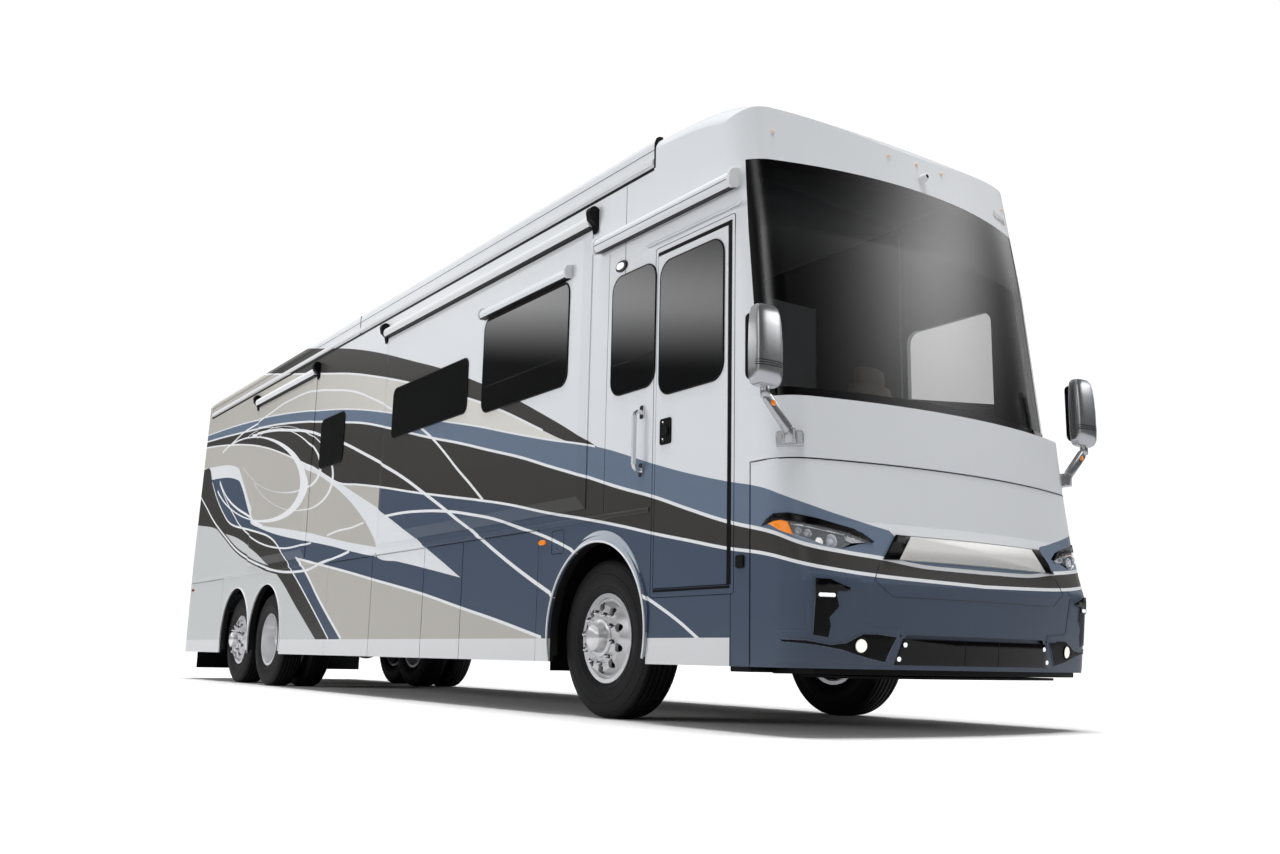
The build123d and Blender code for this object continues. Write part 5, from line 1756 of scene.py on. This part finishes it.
@dataclass
class Awnings(Assembly):
    """Fabric edges, end caps, rails and seams of the awnings, painted shadow under the patio awning, and the slide
    toppers' painted shadow strips and end brackets.
    """

    patio_front: float = -4.96
    patio_rear: float = 6.114
    rooms: tuple[SlideRoom, ...] = (SlideRoom("right_front", Side.RIGHT, -4.2, -0.409),
                                    SlideRoom("right_rear", Side.RIGHT, 1.642, 3.796),
                                    SlideRoom("left", Side.LEFT, -3.9, 1.5))

    def build(self) -> None:
        """Builds the pieces of every awning."""
        self.patio()
        self.door()
        for room in self.rooms:
            self.topper(room)
        self.window()

    def patio(self) -> None:
        """The long awning under the roof's edge."""
        x, y0, y1 = -BODY_HALF, self.patio_front, self.patio_rear
        # The broad dark strip under the awning is painted shadow; the thin lines above it and across it are seams.
        dark = Form().box((x - 0.0015, y0 + 0.002, 3.652), (x + 0.01, y1 + 0.004, 3.675))
        dark.box((x - 0.0015, y0 + 0.002, 3.8), (x + 0.004, y1 + 0.004, 3.804))
        dark.box((x - 0.002, 0.404, 3.68), (x + 0.004, 0.416, 3.87))
        self.put("patio_awning_seams", dark, "satin_black")
        cap = Form().beam([(x - 0.003, 3.668), (x + 0.06, 3.668), (x + 0.06, 3.905), (x + 0.026, 3.9),
                           (x + 0.01, 3.888), (x - 0.003, 3.85)], y0 - 0.014, 0.018)
        self.put("patio_awning_end", cap, "satin_black", 0.5, 0.003)
        rail = Form().beam([(x + 0.001, 3.69), (x - 0.01, 3.694), (x - 0.012, 3.712), (x - 0.01, 3.735),
                            (x + 0.001, 3.74)], y0 + 0.01, y1 - y0 - 0.014)
        self.put("patio_awning_lead_rail", rail, "awning_white", 0.5, 0.002, 1)

    def door(self) -> None:
        """The small awning over the entry door."""
        x = -BODY_HALF
        flap = ((x + 0.002, 3.247), (x - 0.058, 3.226), (x - 0.06, 3.219), (x + 0.002, 3.236))
        edge = Form().beam(flap, -5.862, 1.55)
        self.put("door_awning_fabric_edge", edge, "satin_black")
        for at, label in ((-5.868, "front"), (-4.318, "rear")):
            outline = ((x + 0.001, 3.232), (x - 0.064, 3.212), (x - 0.084, 3.236), (x - 0.086, 3.3), (x - 0.072, 3.334),
                       (x - 0.04, 3.35), (x + 0.001, 3.352))
            end = Form().beam(outline, at - 0.013, 0.026)
            self.put(f"door_awning_end_{label}", end, "awning_white", 0.5, 0.007, 3)
        self.put("door_awning_groove", Form().box((x - 0.0795, -5.84, 3.268), (x - 0.077, -4.33, 3.272)), "satin_black")

    def topper(self, room: SlideRoom) -> None:
        """The dark strip under the awning over a slide room, which is painted shadow, and its end brackets.

        Args:
            room: the slide room.
        """
        sign, skin = room.side.value, room.side.value * BODY_HALF
        # The dark strip under the topper's roller is painted shadow.
        line = Form().box((skin, room.front - 0.01, 3.4545), (skin + sign * 0.05, room.rear + 0.01, 3.4635))
        self.put(f"topper_fabric_edge_{room.label}", line, "satin_black")
        for at, end, way in ((room.front - 0.01, "front", -1), (room.rear + 0.01, "rear", 1)):
            bow = [(skin + sign * (0.036 + 0.044 * math.cos(a)), 3.56 + 0.046 * math.sin(a))
                   for a in (math.radians(-20 + 12 * i) for i in range(19))]
            outline = bow + [(skin - sign * 0.001, 3.56), (skin - sign * 0.001, 3.44), (skin + sign * 0.012, 3.405),
                             (skin + sign * 0.026, 3.47), (skin + sign * 0.07, 3.505)]
            self.put(f"topper_end_{room.label}_{end}", Form().beam(outline, at, way * 0.06), "satin_black", 0.5, 0.005)

    def window(self) -> None:
        """The end caps and fabric of the small awning on the front slide."""
        skin = -SLIDE_FACE
        for at, end in ((-3.953, "front"), (-2.55, "rear")):
            outline = ((skin, 3.145), (skin - 0.05, 3.136), (skin - 0.07, 3.165), (skin - 0.072, 3.205),
                       (skin - 0.052, 3.238), (skin, 3.246))
            piece = Form().beam(outline, at - 0.012, 0.024)
            self.put(f"window_awning_end_{end}", piece, "awning_white", 0.5, 0.006, 3, body="slide_right_front_body")
        under = Form().box((-1.353, -3.94, 3.139), (-1.302, -2.56, 3.147))
        self.put("window_awning_fabric_edge", under, "satin_black", body="slide_right_front_body")


# ------------------ sides
@dataclass
class SideTrim(Assembly):
    """Mouldings, marker lamps, fuel door, arch lips and seams on both sides."""

    belt: float = 1.333
    arch_radius: float = 0.612
    arch_height: float = 0.56
    front_arch: float = -4.355
    rear_arches: tuple[float, float] = (2.915, 4.14)

    def build(self) -> None:
        """Builds the pieces of both sides."""
        for side in Side:
            self.moulding(side)
            self.arches(side)
            self.markers(side)
        self.fuel_door()
        x = -BODY_HALF
        seams = Form().box((x - 0.0008, -4.632, 2.99), (x + 0.003, -4.628, 3.64))
        seams.box((x - 0.0008, -4.43, 1.36), (x + 0.003, -4.427, 3.2))
        self.put("cap_seams", seams, "satin_black")

    def moulding(self, side: Side) -> None:
        """The half-round moulding along the belt.

        Args:
            side: the side.
        """
        x, sign = side.value * BODY_HALF, side.value
        section = ((-0.001, -0.0195), (0.007, -0.0165), (0.01, 0), (0.007, 0.0165), (-0.001, 0.0195))
        belt = Form().beam([(x + sign * a, self.belt + b) for a, b in section], -4.975, 11.375)
        self.put(f"belt_moulding_{side.label}", belt, "body_paint")

    def arches(self, side: Side) -> None:
        """The lips in the wheel arches, whose bright white is painted highlight along their edges, and the flare over
        the front one, whose light grey-blue is painted reflection.

        Args:
            side: the side.
        """
        sign, x, radius, z = side.value, side.value * BODY_HALF, self.arch_radius, self.arch_height
        middle = sum(self.rear_arches) / 2
        start = math.asin((0.4 - z) / radius)
        lips = Form()
        for at in (self.front_arch, *self.rear_arches):
            angles = [start + (math.pi - 2 * start) * i / 48 for i in range(49)]
            if at == self.rear_arches[0]:
                angles = [a for a in angles if math.cos(a) * radius < middle - at]
            if at == self.rear_arches[1]:
                angles = [a for a in angles if math.cos(a) * radius > middle - at]
            skin = x + sign * (0.016 if at < 0 else 0.003)
            lips.tube([(skin, at + radius * math.cos(a), z + radius * math.sin(a)) for a in angles], 0.0085, 8)
        # The lips' bright white is painted highlight along the arch edges.
        self.put(f"arch_lips_{side.label}", lips, "gloss_white", 0.8)
        outer, inner = [], []
        for i in range(81):
            turn = -14 + 208 * i / 80
            a = math.radians(turn)
            grow = 0.002 + 0.068 * max(0.0, math.sin(math.pi * (turn - 58) / 100) if 58 < turn < 158 else 0.0)
            inner.append((self.front_arch + 0.62 * math.cos(a), z + 0.62 * math.sin(a)))
            outer.append((self.front_arch + (0.62 + grow) * math.cos(a), z + (0.62 + grow) * math.sin(a)))
        count = len(outer)
        loops = ((-0.001, outer), (0.008, outer), (0.019, inner), (-0.001, inner))
        vertices = [(x + sign * depth, u, v) for depth, loop in loops for u, v in loop]
        faces = [(r * count + i, r * count + i + 1, s * count + i + 1, s * count + i)
                 for r, s in ((0, 1), (1, 2), (2, 3), (3, 0)) for i in range(count - 1)]
        faces += [tuple(r * count for r in range(4)), tuple(r * count + count - 1 for r in range(4))]
        flare = Form().add(vertices, faces)
        # The flare's light grey-blue finish is painted reflection.
        self.put(f"arch_flare_{side.label}", flare, "flare_paint", 0.6)

    def markers(self, side: Side) -> None:
        """The side marker lamps.

        Args:
            side: the side.
        """
        x, sign, label = side.value * BODY_HALF, side.value, side.label
        for at, name, finish in ((-3.62, "front", "lamp_amber"), (6.3, "rear", "lamp_red")):
            marker = Form().plate([(at + a, 1.213 + b) for a, b in superellipse(0.05, 0.019, 2.6, 28)],
                                  x - sign * 0.001, x + sign * 0.015)
            self.put(f"side_marker_{label}_{name}", marker, finish, 0.5, 0.006)

    def fuel_door(self) -> None:
        """The seam and catch of the fuel door behind the front arch."""
        x = -BODY_HALF
        seam = Form().frame(rounded(-3.918, -3.747, 1.118, 1.288, 0.016), rounded(-3.914, -3.751, 1.122, 1.284, 0.013),
                            x - 0.0012, x + 0.004)
        self.put("fuel_door_seam", seam, "satin_black")
        catch = Form().turn([(0, 0), (0, 0.01), (0.005, 0.009), (0.006, 0)], (x, -3.832, 1.148), (-1, 0, 0), 20)
        self.put("fuel_door_catch", catch, "chrome")


# ------------------ roof and tail
@dataclass
class RoofTrim(Assembly):
    """Marker lamps, camera, vents and the slots of the roof units."""

    units: tuple[float, ...] = (-3.2, 0.7, 4.4)
    vents: tuple[float, ...] = (-1.25, 2.55)

    def build(self) -> None:
        """Builds the roof's pieces."""
        cap = Skin(self.nodes["front_cap"])
        for index, x in enumerate((-1.08, -0.25, 0.0, 0.25, 1.08)):
            at, normal = cap.front(x, 3.617)
            lamp = Form().turn([(0, 0), (0, 0.012), (0.003, 0.0125), (0.008, 0.01), (0.012, 0.005), (0.013, 0)], at,
                               normal, 20)
            self.put(f"front_clearance_{index}", lamp, "marker_amber", 0.7)
        at, normal = cap.front(0.03, 3.515)
        eye = Form().turn([(-0.01, 0), (-0.01, 0.03), (0.03, 0.028), (0.05, 0.022), (0.05, 0)], at, normal, 24)
        self.put("front_camera_body", eye, "gloss_white")
        pupil = Form().turn([(0.05, 0), (0.05, 0.015), (0.053, 0.01), (0.054, 0)], at, normal, 20)
        self.put("front_camera_lens", pupil, "gloss_black")
        plate = ((0.9, 3.5), (1.08, 3.49), (1.08, 3.545), (0.9, 3.555))
        self.lay("cap_plate", plate, cap.front, "inlay_satin", 0.05, -0.001, 0.004)
        for index, y in enumerate(self.vents):
            vent = Form()
            for half, low, high in ((0.2, 3.925, 3.955), (0.185, 3.955, 3.99)):
                vent.prism([(0.32 + a, y + b, low) for a, b in superellipse(half, half, 5.0, 32)], (0, 0, high - low))
            self.put(f"roof_vent_{index}", vent, "white_plastic", 0.5, 0.008)
        for index, y in enumerate(self.units):
            slots = Form()
            for k in range(7):
                for way in (-1, 1):
                    at = y + way * (0.33 - 0.03 * k)
                    slots.box((-0.22, at - 0.006, 4.114), (0.22, at + 0.006, 4.1199))
            self.put(f"roof_unit_slots_{index}", slots, "satin_black")


@dataclass
class TailTrim(Assembly):
    """Marker lamps, camera, tail lamp lenses, plate, lid handles and exhaust."""

    def build(self) -> None:
        """Builds the tail's pieces."""
        rear = Skin(self.nodes["rear_cap"])
        for index, x in enumerate((-1.0, -0.18, 0.0, 0.18, 1.0)):
            at, normal = rear.behind(x, 3.72)
            lamp = Form().turn([(0, 0), (0, 0.02), (0.004, 0.021), (0.012, 0.016), (0.019, 0.008), (0.021, 0)], at,
                               normal, 20)
            self.put(f"rear_clearance_{index}", lamp, "lamp_red", 0.7)
        at, normal = rear.behind(0, 3.55)
        camera = Form().turn([(-0.01, 0), (-0.01, 0.045), (0.03, 0.04), (0.05, 0.03), (0.052, 0)], at, normal, 24)
        self.put("rear_camera", camera, "satin_black")
        plate = ((-0.16, 1.4), (0.16, 1.4), (0.16, 1.56), (-0.16, 1.56))
        self.lay("rear_plate", plate, rear.behind, "brushed_plate", 0.08, -0.001, 0.003)
        lens = Skin(self.nodes["tail_lamps"])
        for side in Side:
            for z, finish, name in ((1.6, "lamp_red", "upper"), (1.52, "clear_rod", "middle"),
                                    (1.44, "lamp_amber", "lower")):
                at, normal = lens.behind(side.value * 1.195, z)
                lamp = Form().turn([(0, 0), (0, 0.032), (0.003, 0.033), (0.006, 0.028), (0.008, 0)],
                                   at - normal * 0.002, normal, 28)
                self.put(f"tail_lamp_{side.label}_{name}", lamp, finish, slot="tail_lens")
            x = side.value
            grip = [(x * 0.3, 6.556, 0.7), (x * 0.3, 6.57, 0.7), (x * 0.45, 6.57, 0.7), (x * 0.45, 6.556, 0.7)]
            handle = Form().tube(grip, 0.008, 10)
            self.put(f"lid_handle_{side.label}", handle, "satin_black", 0.6, body="engine_lid_body")
        bend = smooth_path([(0.55, 6.16, 0.6), (0.6, 6.24, 0.54), (0.64, 6.36, 0.49), (0.66, 6.48, 0.47)], 4)
        pipe = Form().tube(bend, 0.05, 24)
        self.put("exhaust_pipe", pipe, "exhaust_steel", 0.8)


# ------------------ cab
@dataclass
class CabSeats(Assembly):
    """Padded cab seats on their pedestals, in place of the plain ones."""

    seats: Outline = ((0.62, -5.3), (-0.4, -5.15))
    seat_top: float = 1.84

    def build(self) -> None:
        """Builds both seats."""
        for index, (x, y) in enumerate(self.seats):
            top = self.seat_top
            cushion = ((top - 0.13, 0.86), (top - 0.1, 0.98), (top - 0.06, 1.0), (top - 0.02, 0.97), (top, 0.86),
                       (top + 0.006, 0.6))
            pad = Form().stack([((x, y, z), superellipse(0.255 * s, 0.25 * s, 4.0, 36)) for z, s in cushion])
            back = ((1.8, 0.235, 0.055, 0.205), (1.9, 0.25, 0.066, 0.206), (2.1, 0.245, 0.064, 0.212),
                    (2.3, 0.225, 0.058, 0.222), (2.4, 0.19, 0.05, 0.228), (2.42, 0.12, 0.05, 0.23),
                    (2.44, 0.135, 0.052, 0.23), (2.52, 0.13, 0.05, 0.234), (2.545, 0.1, 0.036, 0.235))
            pad.stack([((x, y + shift, z), superellipse(hx, hy, 3.4, 36)) for z, hx, hy, shift in back])
            for side in (-1, 1):
                pad.tube(smooth_path([(x + side * 0.285, y + 0.16, 2.03), (x + side * 0.29, y, 2.04),
                                      (x + side * 0.285, y - 0.18, 2.03)], 5), 0.035, 14)
            piece = self.put(f"cab_seat_{index}", pad, "seat_leather", 0.8,
                             replaced=(("cab_seats",) if index == 0 else ()))
            stand = Form().turn([(0, 0), (0, 0.2), (0.03, 0.19), (0.05, 0.11), (0.3, 0.11), (0.318, 0.16),
                                 (0.318, 0)], (x, y, 1.3905), (0, 0, 1), 32)
            self.put(f"cab_seat_base_{index}", stand, "satin_black")


# ------------------ studio
@dataclass(frozen=True)
class Glow:
    """A soft bright patch of the world: turn and rise in degrees, each with its spread, and strength."""

    turn: float
    turn_spread: float
    rise: float
    rise_spread: float
    strength: float


@dataclass(frozen=True)
class AreaLight:
    """A rectangular soft light: its place, the point it faces, width and height, and power in watts."""

    name: str
    spot: Point3
    target: Point3
    size: Point2
    power: float


@dataclass
class Studio:
    """Camera, floor, world and lights. Angles are in degrees.

    The world that reflections see has a wall, which brightens over wall_rise to wall_glow and fades again over fall,
    (start, height, share). It stands beside the coach, from wall_front on, and the glows are added to it.
    """

    spot: Point3 = (-5.552, -11.145, 0.398)
    yaw: float = 34.193
    pitch: float = 11.107
    roll: float = 1.195
    focal: float = 1178.914 / 1280
    sun_power: float = 4.1
    sun_spread: float = 30
    white: float = 1.05
    soft: float = 0.36
    wall_rise: Point2 = (13.8, 18.4)
    dark: float = 0.02
    wall_glow: float = 2.3
    wall_front: Point2 = (-0.35, 0.5)
    fall: Point3 = (16.8, 4.0, 0.85)
    glows: tuple[Glow, ...] = (Glow(124, 17, 29, 5.5, 2.9), Glow(-130, 8, 28, 14, 1.3), Glow(84, 6, 18, 11, 1.1))
    lights: tuple[AreaLight, ...] = (
        AreaLight("key_light", (-20.0, 9.0, 4.4), (0.0, -2.0, 1.5), (12.0, 4.0), 2080),
        AreaLight("front_light", (3.0, -15.0, 4.0), (0.0, -6.0, 2.2), (5.0, 4.0), 52),
        AreaLight("cab_light", (0.0, -4.2, 3.2), (0.0, -5.4, 2.0), (1.6, 0.8), 1.2),
    )

    def build(self) -> None:
        """Builds the studio."""
        self.camera()
        self.floor()
        self.world()
        for light in self.lights:
            self.light(light)
        sun = bpy.data.lights.new("overhead_light", "SUN")
        sun.energy, sun.angle = self.sun_power, math.radians(self.sun_spread)
        lamp = bpy.data.objects.new("overhead_light", sun)
        lamp.visible_glossy = False
        bpy.context.scene.collection.objects.link(lamp)

    def camera(self) -> None:
        """Sets the camera at the viewing angle."""
        data = bpy.data.cameras.new("camera")
        view = bpy.data.objects.new("camera", data)
        bpy.context.scene.collection.objects.link(view)
        data.sensor_width, data.lens, data.clip_end = 36.0, self.focal * 36.0, 200
        yaw, pitch, roll = (math.radians(a) for a in (self.yaw, self.pitch, self.roll))
        forward = Vector((math.sin(yaw) * math.cos(pitch), math.cos(yaw) * math.cos(pitch), math.sin(pitch)))
        right = Vector((math.cos(yaw), -math.sin(yaw), 0.0))
        up = right.cross(forward)
        turned_right = right * math.cos(roll) + up * math.sin(roll)
        turned_up = -right * math.sin(roll) + up * math.cos(roll)
        turned = Matrix((turned_right, turned_up, -forward)).transposed().to_4x4()
        view.matrix_world = Matrix.Translation(self.spot) @ turned
        bpy.context.scene.camera = view

    def floor(self) -> None:
        """Lays the pale floor."""
        material, net, shader = new_material("studio_floor", Roughness=0.9, Specular_IOR_Level=0.0)
        pale = net.mix(net.noise(0.4, 2.0), srgb(228, 228, 228), srgb(232, 232, 232))
        seen = net.node("ShaderNodeLightPath").outputs["Is Camera Ray"]
        net.feed(shader.inputs["Base Color"], net.mix(seen, srgb(168, 168, 170), pale))
        sheet = Form().add([(-60, -60, 0), (60, -60, 0), (60, 60, 0), (-60, 60, 0)], [(0, 1, 2, 3)])
        sheet.make("studio_floor", material, 0.6)

    def world(self) -> None:
        """White for the eye, even for soft light, and graded for reflections."""
        world = bpy.data.worlds.new("studio")
        world.use_nodes = True
        bpy.context.scene.world = world
        net = Net(world.node_tree)
        background = next(n for n in world.node_tree.nodes if n.type == "BACKGROUND")
        x, y, z = net.parts(net.node("ShaderNodeTexCoord").outputs["Generated"])
        rise, turn = net.math("ARCSINE", z), net.math("ARCTAN2", x, y)

        def offset(angle: Value, start: float, spread: float) -> Value:
            """An angle's distance from a start, in spreads."""
            return (angle - math.radians(start)) / math.radians(spread)

        def shine(glow: Glow) -> Value:
            """The brightness that a glow adds."""
            off, lift = offset(turn, glow.turn, glow.turn_spread), offset(rise, glow.rise, glow.rise_spread)
            return net.math("EXPONENT", (off * off + lift * lift) * -0.5) * glow.strength

        ramp = {"Value": rise, "From Min": math.radians(self.wall_rise[0]), "From Max": math.radians(self.wall_rise[1]),
                "To Min": self.dark, "To Max": self.wall_glow}
        wall = Value(net, net.node("ShaderNodeMapRange", ramp, interpolation_type="SMOOTHSTEP").outputs[0])
        start, height, share = self.fall
        wall = wall * (1.0 - offset(rise, start, height).clamped() * share)
        ahead, fade = self.wall_front
        wall = wall * (x < 0.05) * ((y - ahead) / fade).clamped()
        mirrored = wall + reduce(add, [shine(glow) for glow in self.glows]) + self.dark
        path = net.node("ShaderNodeLightPath").outputs
        glossy, seen = Value(net, path["Is Glossy Ray"]), Value(net, path["Is Camera Ray"])
        background.inputs["Color"].default_value = (1.0, 1.0, 1.0, 1.0)
        strength = seen * self.white + glossy * mirrored + (~glossy & ~seen) * self.soft
        net.feed(background.inputs["Strength"], strength)

    def light(self, light: AreaLight) -> None:
        """Adds a light.

        Args:
            light: the light.
        """
        data = bpy.data.lights.new(light.name, "AREA")
        data.shape, (data.size, data.size_y), data.energy = "RECTANGLE", light.size, light.power
        lamp = bpy.data.objects.new(light.name, data)
        lamp.location = light.spot
        lamp.rotation_euler = (Vector(light.target) - Vector(light.spot)).to_track_quat("-Z", "Y").to_euler()
        lamp.visible_glossy = False
        bpy.context.scene.collection.objects.link(lamp)


# ------------------ the coach
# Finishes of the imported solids, by their material slot or by their own name.
SLOT_FINISHES = {"tinted_glass": "side_glass", "alloy": "polished_alloy", "tyre_rubber": "tyre_rubber",
                 "chassis_steel": "black_steel", "engine_paint": "engine_iron", "mirror_chrome": "chrome",
                 "black_plastic": "black_plastic", "white_plastic": "white_plastic", "floor_board": "floor_board",
                 "seat_leather": "seat_leather", "axle_iron": "black_steel", "lamp_lens": "lamp_cover",
                 "tail_lens": "lamp_red", "body_paint": "body_paint"}
OWN_FINISHES = {"windscreen": "screen_glass", "awnings": "body_paint"}


def dress(frame: dict, kit: Kit) -> None:
    """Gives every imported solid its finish.

    Args:
        frame: the loaded frame.
        kit: the finishes.
    """
    slots = {s["node"]: s["material_slot"] for s in frame["record"]["subparts"]}
    for name, obj in frame["nodes"].items():
        finish = OWN_FINISHES.get(name, SLOT_FINISHES[slots[name]])
        for slot in obj.material_slots:
            slot.material = kit[finish]
        LOG.info("%s in %s", name, finish)


def main() -> None:
    """Builds the scene."""
    logging.basicConfig(level=logging.INFO)
    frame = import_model()
    bpy.context.scene.view_settings.view_transform = "Standard"
    kit = Kit()
    dress(frame, kit)
    for kind in (Wheels, NoseTrim, Mirrors, SideWindows, EntryDoor, Awnings, SideTrim, RoofTrim, TailTrim, CabSeats):
        kind(kit, frame["nodes"]).build()
    Studio().build()


if __name__ == "__main__":
    main()
